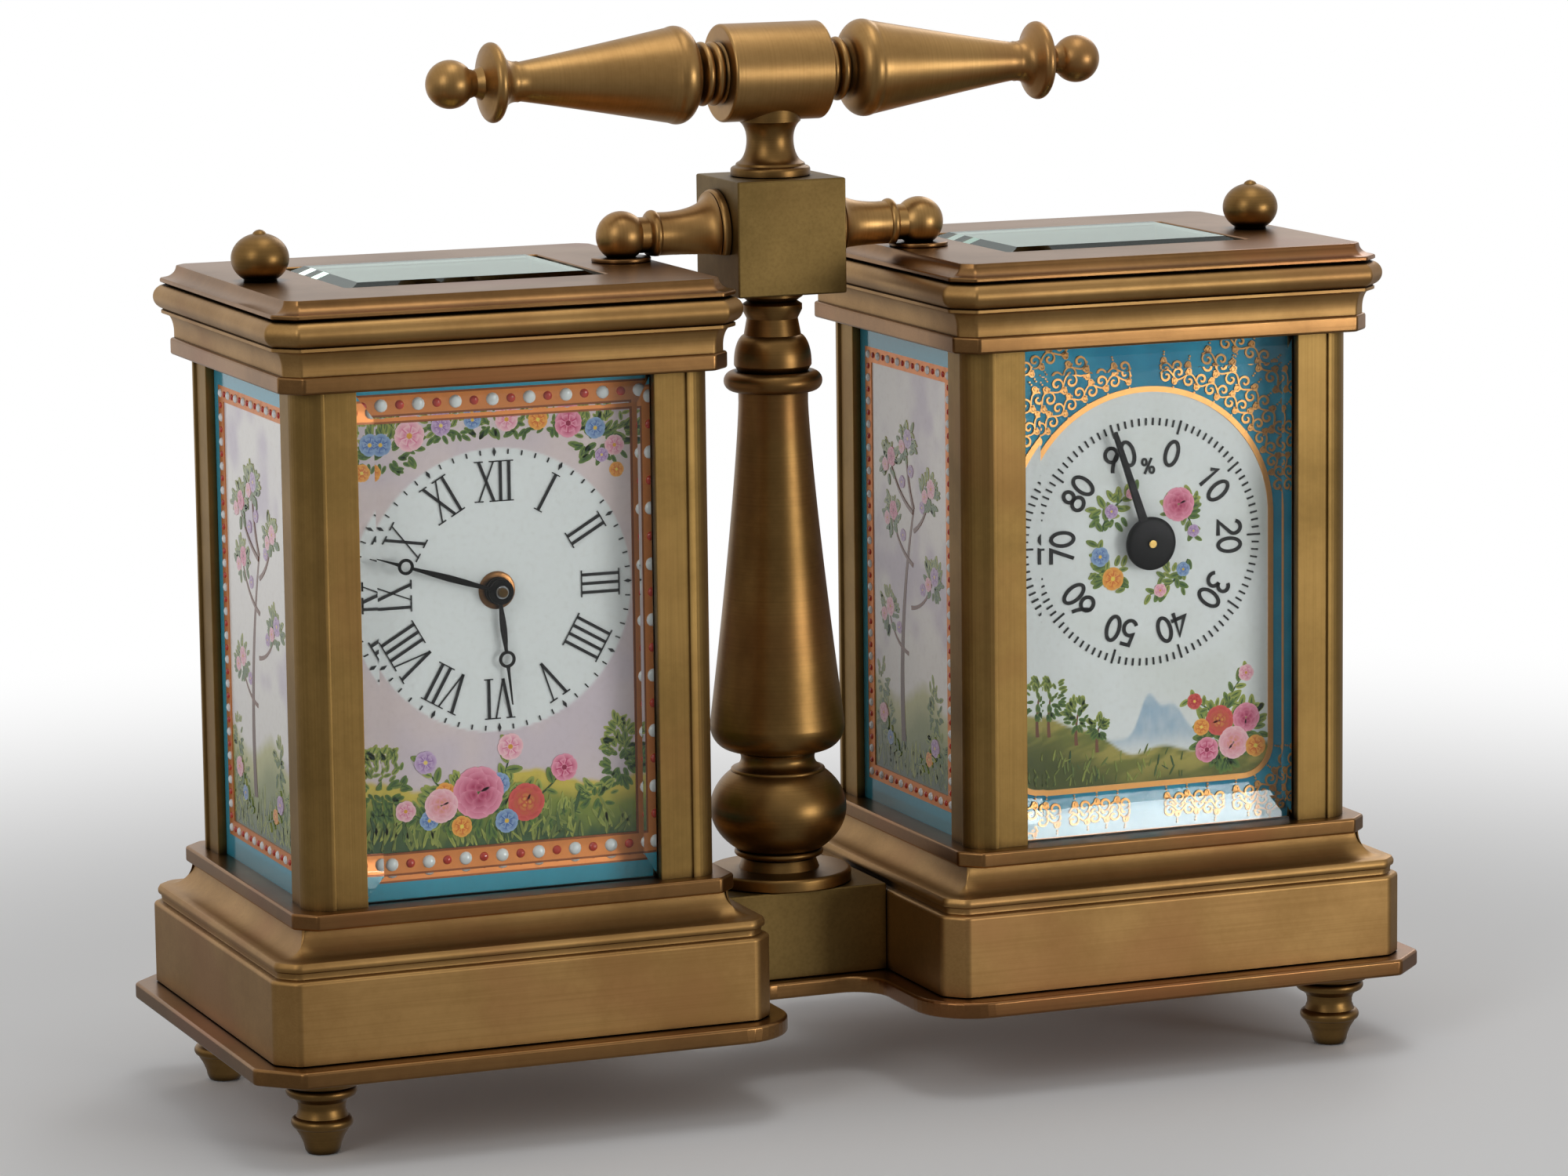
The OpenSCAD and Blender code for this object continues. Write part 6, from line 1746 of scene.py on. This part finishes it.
@dataclass
class WeatherDial(Dial):
    """The humidity dial: an arched white field with a scale, on turquoise with gilt lace."""

    side: Side = Side.WEATHER
    hole_r: float = 1.1
    field_half: float = 15.7
    field_top: float = 17.5
    field_spring: float = 2.4
    field_low: float = -28.0
    field_corner: float = 3.6
    edge_line: float = 0.3
    scale_r: float = 14.2
    scale_start: float = 18.0
    number_r: float = 10.45

    def inside(self, u: Array, v: Array) -> Array:
        """True where a place lies in the white field."""
        w, r, low, spring = self.field_half, self.field_corner, self.field_low, self.field_spring
        under_arch = (u / w) ** 2 + (np.maximum(v - spring, 0) / (self.field_top - spring)) ** 2 < 1
        corner = np.hypot(np.maximum(np.abs(u) - w + r, 0), np.minimum(v - low - r, 0))
        return under_arch & (v > low) & (corner < r)

    def ground(self, u: Array, v: Array) -> Array:
        """Colours of the ground: turquoise outside the field, and a hill, far hills and mist inside it."""
        colour = blend(Paint.WHITE, Paint.CLOUD, ease(wash(u, v, 9, 11), 0.3, 0.9))
        far = -22.5 + 3.6 * np.exp(-(((u - 3.2) / 2.0) ** 2)) + 4.6 * np.exp(-(((u - 0.2) / 1.5) ** 2))
        far_share = ease(far - v, -0.2, 0.4) * ease(v, -24.6, -21.5)
        colour = blend(colour, Paint.HILL_BLUE, 0.75 * far_share * (0.7 + 0.6 * wash(3 * u, v, 2, 12)))
        depth = -24.0 + 4.6 * ease(-u, 1.0, 12.5) + 0.4 * np.sin(0.8 * u) - v
        streak = wash(0.5 * u + 0.3 * v, 2.4 * v - 0.7 * u, 2.2, 13)
        slope = blend(Paint.HILL_SUN, Paint.HILL_GREEN, ease(streak, 0.3, 0.7))
        slope = blend(slope, Paint.HILL_SHADE, ease(depth, 1.0, 5.5))
        colour = blend(colour, slope, ease(depth, -0.2, 0.3))
        deep = blend(Paint.DEEP_TURQUOISE, Paint.PALE_TURQUOISE, ease(wash(u, v, 6, 14), 0.2, 0.9))
        return np.where(self.inside(u, v)[..., None], colour, deep)

    def paint_scenery(self) -> None:
        """Paints round trees on the hill, a bunch of blossoms at the right and grass at the foot."""
        for x, z, tall, size, seed in (
            (-12.2, -20.6, 3.6, (1.5, 2.1), 61), (-8.8, -21.8, 2.6, (1.1, 1.5), 62),
            (-6.2, -22.8, 1.9, (0.8, 1.0), 63),
        ):
            trunk = bent((x, z - 1.0), (x + 0.2, z + tall), 0.15)
            self.brush.stroke(trunk, np.linspace(0.22, 0.09, 11), Paint.BARK)
            self.brush.foliage((x + 0.1, z + tall), size, 46, seed, 0.9, 0.35)
        self.brush.foliage((10.6, -22.6), (3.8, 3.4), 90, 64, 1.6)
        self.brush.spray((9.8, -22.0), (12.6, -16.0), 0.7, [(1.0, PINK, 1.0)], 1.4, 65)
        self.brush.spray((10.2, -23.0), (5.4, -18.6), -0.7, [(0.9, RED, 0.95)], 1.4, 66)
        self.brush.rose((12.6, -21.2), 1.7, ROSE, 20 * 12.6)
        self.brush.rose((9.2, -21.3), 1.75, RED, 20 * 9.2)
        self.brush.rose((11.0, -24.0), 1.9, PINK, 20 * 11.0)
        for x, z, radius, flower in (
            (7.6, -24.6, 1.5, ROSE), (13.8, -24.6, 1.3, ORANGE), (6.9, -21.9, 1.0, ORANGE),
        ):
            self.brush.blossom((x, z), radius, flower, 6, 20 * x)
        self.brush.blades(self.field_low + 0.5, (-13.4, 5.0), 70, 67, 1.2)

    def paint_hub(self) -> None:
        """Paints four small sprigs round the pointer's hub."""
        start, middle, end = np.array([[-3.1, 4.9], [-0.6, 5.7], [3.0, 5.3]])
        for degrees, flowers in (
            (58, [(0.3, ROSE, 1.95), (0.95, LILAC, 0.75)]),
            (146, [(0.2, BLUE, 0.85), (0.85, PINK, 0.8)]),
            (240, [(0.3, ORANGE, 1.35), (0.85, BLUE, 1.15)]),
            (318, [(0.4, LILAC, 0.85), (0.9, PINK, 0.65)]),
        ):
            self.brush.foliage(on_ring(middle, degrees), (2.0, 1.4), 14, degrees, 1.4)
            self.brush.spray(on_ring(start, degrees), on_ring(end, degrees), 0.7, flowers, 1.35, degrees)

    def paint_scale(self) -> None:
        """Paints a hundred marks, ten longer ones, the numbers from 0 to 90 and the sign for per cent."""
        radius, start = self.scale_r, self.scale_start
        ticks(self.brush, 100, radius - 0.85, radius, 0.1, 10, start)
        ticks(self.brush, 10, radius - 1.5, radius + 0.15, 0.11, 0, start)
        for i in range(10):
            Numerals.number(self.brush, str(10 * i), start + 36 * i, self.number_r, 2.8, 0.21)
        Numerals.number(self.brush, "%", 0, 8.7, 1.8, 0.13)

    def paint_gilding(self) -> None:
        """Paints the gilt line round the field and vines in the spandrels and along the foot."""
        half, top, low, high = self.field_half, self.field_top, self.low, self.high
        r, foot, spring = self.field_corner, self.field_low, self.field_spring
        arch = line(
            arc(half - r, foot + r, r, 270, 360, 10),
            arc(0, spring, half, 0, 180, 64, top - spring),
            arc(-half + r, foot + r, r, 180, 270, 10),
        )
        self.brush.stroke(line(arch, arch[0]), 0.32, Paint.GOLD, 1)
        for mirror in (-1, 1):
            for points, sway, waves, size in (
                (arc(0, 2.4, half + 1.5, 84, 8, 40, top - 0.6), 0.45, 7.5, 0.72),
                (arc(0, 2.6, half + 3.4, 68, 22, 30, top + 1.6), 0.5, 4.5, 0.8),
                (bent((9.5, high - 1.4), (18.2, high - 9.0), 1.6), 0.45, 3.5, 0.75),
                (bent((2.2, low + 2.5), (9.8, low + 2.3), 0.25), 0.5, 3.0, 0.75),
                (bent((10.8, low + 2.6), (18.4, low + 8.6), -2.2), 0.5, 3.5, 0.78),
                (bent((13.6, low + 1.3), (18.8, low + 3.6), -0.7), 0.3, 2.0, 0.5),
            ):
                self.brush.vine(points * [mirror, 1], sway, waves, size)
        t = self.edge_line
        self.brush.border(self.edge, (self.half_w - t, low + t, high - t), Paint.GOLD, 1)

    def build(self) -> None:
        """Builds and paints the dial."""
        self.paint_scenery()
        self.paint_hub()
        self.paint_scale()
        self.paint_gilding()
        self.finish()


@dataclass
class SidePanels:
    """The two painted side panels of a case. Sizes in millimetres."""

    side: Side
    seen_half: float = 13.9
    edge: float = 1.4
    edge_ends: float = 2.6
    band: float = 1.75
    thickness: float = 1.6
    grid: tuple[int, int] = (90, 420)
    pinhole_r: float = 0.02

    def ground(self, u: Array, v: Array) -> Array:
        """Colours of the ground: a pale sky over a soft meadow."""
        clouds = wash(u, v, 6, 21 + self.side.value)
        colour = blend(Paint.PANEL_SKY, Paint.PANEL_CLOUD, ease(clouds, 0.15, 0.6))
        depth = -13.5 + 1.4 * np.sin(0.4 * u) + 1.2 * (wash(u, v, 2.5, 22) - 0.5) - v
        meadow = blend(Paint.PALE_GRASS, Paint.GRASS, ease(depth, 0.5, 5.0))
        meadow = blend(meadow, Paint.SHADE, ease(depth, 4.5, 9.5))
        return blend(colour, meadow, 0.9 * ease(depth, -0.8, 1.2))

    def paint_tree(self, brush: Brush, lean: int, seed: int) -> None:
        """Paints a flowering tree among shrubs.

        Args:
            brush, lean: the brush, and 1 or -1 for the side that the tree leans to.
            seed: number that the places of its leaves start from.
        """
        mirror = np.array([lean, 1])
        trunk = bent((-2.2 * lean, -19.5), (1.2 * lean, 8.0), 1.6 * lean, 18)
        for k, (x, z, size, count) in enumerate((
            (-7.5, -17.5, (2.4, 1.9), 40), (7.6, -18.6, (2.3, 1.6), 36), (6.8, -14.2, (1.5, 2.6), 34),
            (-8.4, -13.4, (1.2, 2.2), 24),
        )):
            brush.foliage((x * lean, z), size, count, seed + k, 1.1, 0.4)
        height = np.linspace(0, 1, len(trunk))
        brush.stroke(trunk, np.linspace(0.62, 0.2, len(trunk)), blend(Paint.DARK_BARK, Paint.BARK, height))
        for k, (start, end, sag) in enumerate((
            ((-0.6, -9.0), (-6.4, -4.6), 1.0), ((0.3, -3.5), (6.6, 0.6), -1.0),
            ((0.9, 1.5), (-5.2, 6.8), 0.9), ((1.2, 5.5), (5.8, 10.6), -0.8),
            ((1.2, 8.0), (-0.8, 15.6), 0.6), ((1.0, 7.6), (-5.6, 13.0), 0.8),
        )):
            start, end = start * mirror, end * mirror
            brush.stroke(bent(start, end, sag * lean), np.linspace(0.26, 0.09, 11), Paint.BARK)
            brush.foliage(end, (2.2, 1.8), 40, seed + 10 + k, 1.25)
            flower = (PINK, LILAC, ROSE)[k % 3]
            brush.blossom(end + [0.5, 0.4], 1.15, flower, 5, 30 * k)
            brush.blossom(end + [-1.3, -0.7], 0.85, PINK, 5, 50 * k)
            brush.blossom((start + end) / 2 + [0.2, 0.5], 0.75, LILAC, 5, 20 * k)

    def panel(self, half_w: float, half_h: float, seed: int) -> Shape:
        """One panel in its own axes: a tree over a meadow, in a beaded border.

        Args:
            half_w, half_h, seed: half its size, and the number that its painting starts from.

        Returns:
            The mesh.
        """
        brush = Brush()
        outer_w, outer_h = self.seen_half - self.edge, half_h - self.edge_ends
        inner_w, inner_h = outer_w - self.band, outer_h - self.band
        lean = 1 if seed % 2 else -1
        brush.blades(-inner_h + 0.2, (-inner_w, inner_w), 130, seed, 2.6)
        self.paint_tree(brush, lean, seed)
        left = [(0.5, BLUE, 0.9), (1.0, PINK, 1.2)]
        right = [(0.6, ORANGE, 0.9), (1.0, LILAC, 1.1)]
        brush.spray((-3.0 * lean, -21.0), (-8.0 * lean, -17.0), 0.8, left, 1.4, seed)
        brush.spray((2.0 * lean, -21.5), (7.0 * lean, -18.8), -0.6, right, 1.4, seed + 1)
        edge, outer = (half_w, -half_h, half_h), (outer_w, -outer_h, outer_h)
        brush.border(edge, outer, Paint.TURQUOISE)
        brush.border(outer, (inner_w, -inner_h, inner_h), Paint.BAND, 1)
        middle = self.band / 2
        brush.bead_rows((outer_w - middle, -outer_h + middle, outer_h - middle), 2.8, 2.8, (0.5, 0.36))
        plate = front_grid(edge, self.pinhole_r, self.grid, self.ground, self.thickness)
        return joined([plate, *brush.shapes])

    def build(self) -> None:
        """Builds and paints both panels."""
        node = f"{self.side.word}_panels"
        low, high = node_box(node)
        half_x, half_y, half_z = (high - low) / 2
        middle = (low + high) / 2 * [1, 0, 1]
        panels = [
            self.panel(half_y, half_z, 80 + 4 * self.side.value + sign).placed(
                PANEL_AXES[sign], middle + [sign * half_x, 0, 0]
            )
            for sign in (-1, 1)
        ]
        make_piece(f"{node}_painted", node, joined(panels), GLAZE, GILDING, slot=Slot.PAINTED, smooth=40)


@dataclass
class Hands:
    """The blackened hands of the clock and the pointer of the humidity dial.

    Sizes in millimetres, and angles clockwise from the top in degrees.
    """

    minute_l: float = 14.8
    minute_angle: float = 288.0
    hour_l: float = 12.7
    hour_angle: float = 174.0
    pointer_l: float = 13.7
    pointer_angle: float = -19.0
    pointer_hub_r: float = 3.05
    pointer_bore_r: float = 0.46
    chamfer: float = 0.06
    smooth: float = 24

    def bar(self, reach: Array | list[float], halves: list[float], thickness: float) -> Shape:
        """A bar along its own Y, whose section is a rectangle with small chamfers.

        Args:
            reach, halves, thickness: places of its sections, half its width at each, and its thickness.

        Returns:
            The closed mesh.
        """
        rings = []
        for y, w in zip(reach, halves):
            section = rectangle(2 * w, thickness, min(self.chamfer, 0.4 * w))
            rings.append(np.insert(section, 1, y, axis=1))
        return loft(rings)

    def ring(self, inner: float, outer: float, thickness: float, dome: float = 0.0) -> Shape:
        """A flat ring with small chamfers, whose front may be domed.

        Args:
            inner, outer, thickness: its radii and thickness.
            dome: how much the front falls towards its edge.

        Returns:
            The closed mesh.
        """
        t, c = thickness / 2, self.chamfer
        profile = line(
            [inner, -t + c], [inner + c, -t], [outer - c, -t], [outer, -t + c], [outer, t - c - dome],
            [outer - c - dome, t - dome / 2], [outer - 3 * dome - 2 * c, t],
            [inner + c, t], [inner, t - c],
        )
        return lathe(profile, 56, hollow=True)

    def ring_hand(
        self, length: float, ring_at: float, ring_r: float, hub_r: float, bore_r: float, t: float
    ) -> Shape:
        """A hand with a small open ring near its tip, pointing along its own Y.

        Args:
            length, t: its length and thickness.
            ring_at, ring_r: place and radius of the open ring.
            hub_r, bore_r: radii of the hub and its bore.

        Returns:
            The closed mesh.
        """
        foot, end = bore_r + 0.2, ring_at - ring_r + 0.1
        share = np.array([0, 0.15, 0.35, 0.55, 0.75, 0.9, 1.0])
        blade = self.bar(foot + (end - foot) * share, [0.2, 0.24, 0.34, 0.37, 0.3, 0.2, 0.17], t)
        tip = self.bar([ring_at + ring_r - 0.12, ring_at + ring_r + 0.5, length], [0.22, 0.15, 0.05], t)
        eye = self.ring(ring_r - 0.29, ring_r + 0.04, t).moved(y=ring_at)
        return joined([blade, eye, tip, self.ring(bore_r, hub_r, t)])

    def make(self, node: str, side: Side, shape: Shape, angle: float, body: str) -> None:
        """Makes one hand at its node's depth, turned about its dial's centre.

        Args:
            node, side: its node, and the case that it belongs to.
            shape, angle, body: its mesh, where it points, and the body that it rides on.
        """
        low, high = node_box(node)
        dial_low = node_box(f"{side.word}_dial")[0][2]
        centre = np.array([side.value * Case.case_x, (low[1] + high[1]) / 2, dial_low + Dial.centre_h])
        shape = shape.turned(-angle).placed(DIAL_AXES, centre)
        make_piece(f"{node}_black", node, shape, Steel.BLACK, body=body, smooth=self.smooth)

    @staticmethod
    def thickness(node: str) -> float:
        """Thickness of a hand's node."""
        low, high = node_box(node)
        return high[1] - low[1]

    def build(self) -> None:
        """Builds both hands, and the pointer as a needle on a domed hub."""
        for node, length, share, ring_r, hub_r, bore_r, angle in (
            ("minute_hand", self.minute_l, 0.77, 0.85, 1.4, 0.73, self.minute_angle),
            ("hour_hand", self.hour_l, 0.6, 0.9, 1.5, 1.09, self.hour_angle),
        ):
            hand = self.ring_hand(length, share * length, ring_r, hub_r, bore_r, self.thickness(node))
            self.make(node, Side.CLOCK, hand, angle, f"{node}_body")
        t = self.thickness("weather_pointer")
        hub = self.ring(self.pointer_bore_r, self.pointer_hub_r, t, 0.12)
        needle = self.bar([2.4, 3.2, 11.0, self.pointer_l], [0.62, 0.5, 0.34, 0.28], t - 0.1)
        self.make("weather_pointer", Side.WEATHER, joined([hub, needle]), self.pointer_angle, "pointer_body")


# Studio


@dataclass
class Studio:
    """The floor, the world, the lamps and the camera. Lengths are in metres, and angles in degrees.

    The focal length and the picture's width are in pixels, and the sensor is in millimetres. The
    floor keeps its shade within shade_near and is white past shade_far. To a mirror it has
    front_light before the object and back_light behind it, and the room has room_level, with
    more towards the back, overhead and straight behind. A lamp has a name, a place, its width
    and height, and its watts.
    """

    focal_px: float = 7680.7
    picture_px: float = 2000.0
    sensor: float = 36.0
    yaw: float = -21.795
    pitch: float = 9.059
    roll: float = -0.711
    target: tuple[float, float, float] = (0.00103, 0.0, 0.055011)
    distance: float = 0.68524
    floor_half: float = 4.0
    shade_near: float = 0.1
    shade_far: float = 0.3
    front_light: float = 0.22
    back_light: float = 0.85
    matt_light: float = 0.34
    room_level: float = 0.32
    room_side: float = 0.2
    room_over: float = 0.5
    room_behind: float = 0.15
    lamps: tuple = (
        ("left_window", (-0.75, -0.55, 0.5), (0.3, 0.55), 1.4),
        ("front_right", (0.56, -0.82, 0.1), (0.34, 0.2), 2.1),
        ("overhead", (0.1, -0.05, 0.95), (0.6, 0.3), 1.1),
        ("behind_right", (0.6, 0.7, 0.5), (0.3, 0.4), 0.8),
    )

    def camera(self) -> None:
        """Sets the camera at the photograph's viewing angle."""
        place = Matrix.Translation(self.target)
        for degrees, axis in ((self.yaw, "Z"), (90 - self.pitch, "X"), (self.roll, "Z")):
            place = place @ Matrix.Rotation(math.radians(degrees), 4, axis)
        data = bpy.data.cameras.new("camera")
        data.sensor_width = self.sensor
        data.lens = self.focal_px * self.sensor / self.picture_px
        data.clip_start = 0.01
        camera = in_scene("camera", data)
        camera.matrix_world = place @ Matrix.Translation((0, 0, self.distance))
        bpy.context.scene.camera = camera

    def floor(self) -> None:
        """Lays a plain pale floor that keeps the object's shade and turns plain white further out."""
        mesh = bpy.data.meshes.new("floor")
        corners = rectangle(2 * self.floor_half, 2 * self.floor_half)
        mesh.from_pydata([(x, y, 0) for x, y in corners], [], [(0, 1, 2, 3)])
        nodes = Nodes(bpy.data.materials.new("pale_floor"))
        nodes.fill(nodes.shader, Base_Color=(0.93, 0.93, 0.93), Roughness=0.7, Specular_IOR_Level=0.2)
        place = nodes.add("TexCoord").outputs["Object"]
        reach = nodes.add("VectorMath", place, operation="LENGTH").outputs["Value"]
        away = nodes.add("SeparateXYZ", place).outputs["Y"]
        mirrored = nodes.mirrored()
        room = nodes.span(nodes.ramp(away, 0.0, 0.5), self.front_light, self.back_light)
        white = nodes.add("Emission", Color=(1.0, 1.0, 1.0), Strength=nodes.span(mirrored, 1.0, room))
        share = nodes.math("MAXIMUM", nodes.ramp(reach, self.shade_near, self.shade_far), mirrored)
        nodes.show(share, nodes.shader, white)
        mesh.materials.append(nodes.owner)
        in_scene("floor", mesh)

    def world(self) -> None:
        """Sets a white background, a soft light for matt surfaces and a shaded room for metal to mirror."""
        world = bpy.data.worlds.new("studio")
        bpy.context.scene.world = world
        nodes = Nodes(world)
        path = nodes.add("LightPath").outputs
        ways = nodes.add("SeparateXYZ", nodes.add("TexCoord").outputs["Generated"]).outputs
        mirrored = nodes.mirrored()
        above = nodes.math("POWER", nodes.math("MULTIPLY_ADD", ways["Z"], 0.5, 0.5), 2.0)
        behind = nodes.math("POWER", nodes.math("MAXIMUM", ways["Y"], 0.0), 6.0)
        room = nodes.math("MULTIPLY_ADD", ways["Y"], self.room_side, self.room_level)
        room = nodes.math("MULTIPLY_ADD", above, self.room_over, room)
        room = nodes.math("MULTIPLY", nodes.math("MULTIPLY_ADD", behind, self.room_behind, room), mirrored)
        bounces = nodes.math("ADD", path["Glossy Depth"], path["Diffuse Depth"])
        direct = nodes.math("LESS_THAN", bounces, 0.5)
        through = nodes.math("MULTIPLY", path["Is Transmission Ray"], direct)
        seen = nodes.math("MAXIMUM", path["Is Camera Ray"], through)
        matt = nodes.math("MULTIPLY_ADD", mirrored, -self.matt_light, self.matt_light)
        strength = nodes.math("MAXIMUM", nodes.math("MAXIMUM", seen, room), matt)
        nodes.fill(nodes.shader, Color=(1.0, 1.0, 1.0), Strength=strength)

    def light(self) -> None:
        """Adds soft lamps that face the object."""
        for name, place, size, power in self.lamps:
            data = bpy.data.lights.new(name, "AREA")
            data.shape = "RECTANGLE"
            data.size, data.size_y = size
            data.energy = power
            aim = Vector(self.target) - Vector(place)
            turn = aim.to_track_quat("-Z", "Y").to_matrix().to_4x4()
            in_scene(name, data).matrix_world = Matrix.Translation(place) @ turn

    def build(self) -> None:
        """Sets up the whole studio."""
        self.camera()
        self.floor()
        self.world()
        self.light()
        bpy.context.scene.view_settings.view_transform = "Standard"


def main() -> None:
    """Builds the looks in order."""
    logging.basicConfig(level=logging.INFO, format="%(name)s: %(message)s")
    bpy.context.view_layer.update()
    Studio().build()
    Stand().build()
    ColumnAndHandle().build()
    cases = [Case(side) for side in Side]
    for case in cases:
        case.build()
    build_shared_plates(cases)
    ClockDial().build()
    WeatherDial().build()
    for side in Side:
        SidePanels(side).build()
    Hands().build()
    Works().build()


if __name__ == "__main__":
    main()
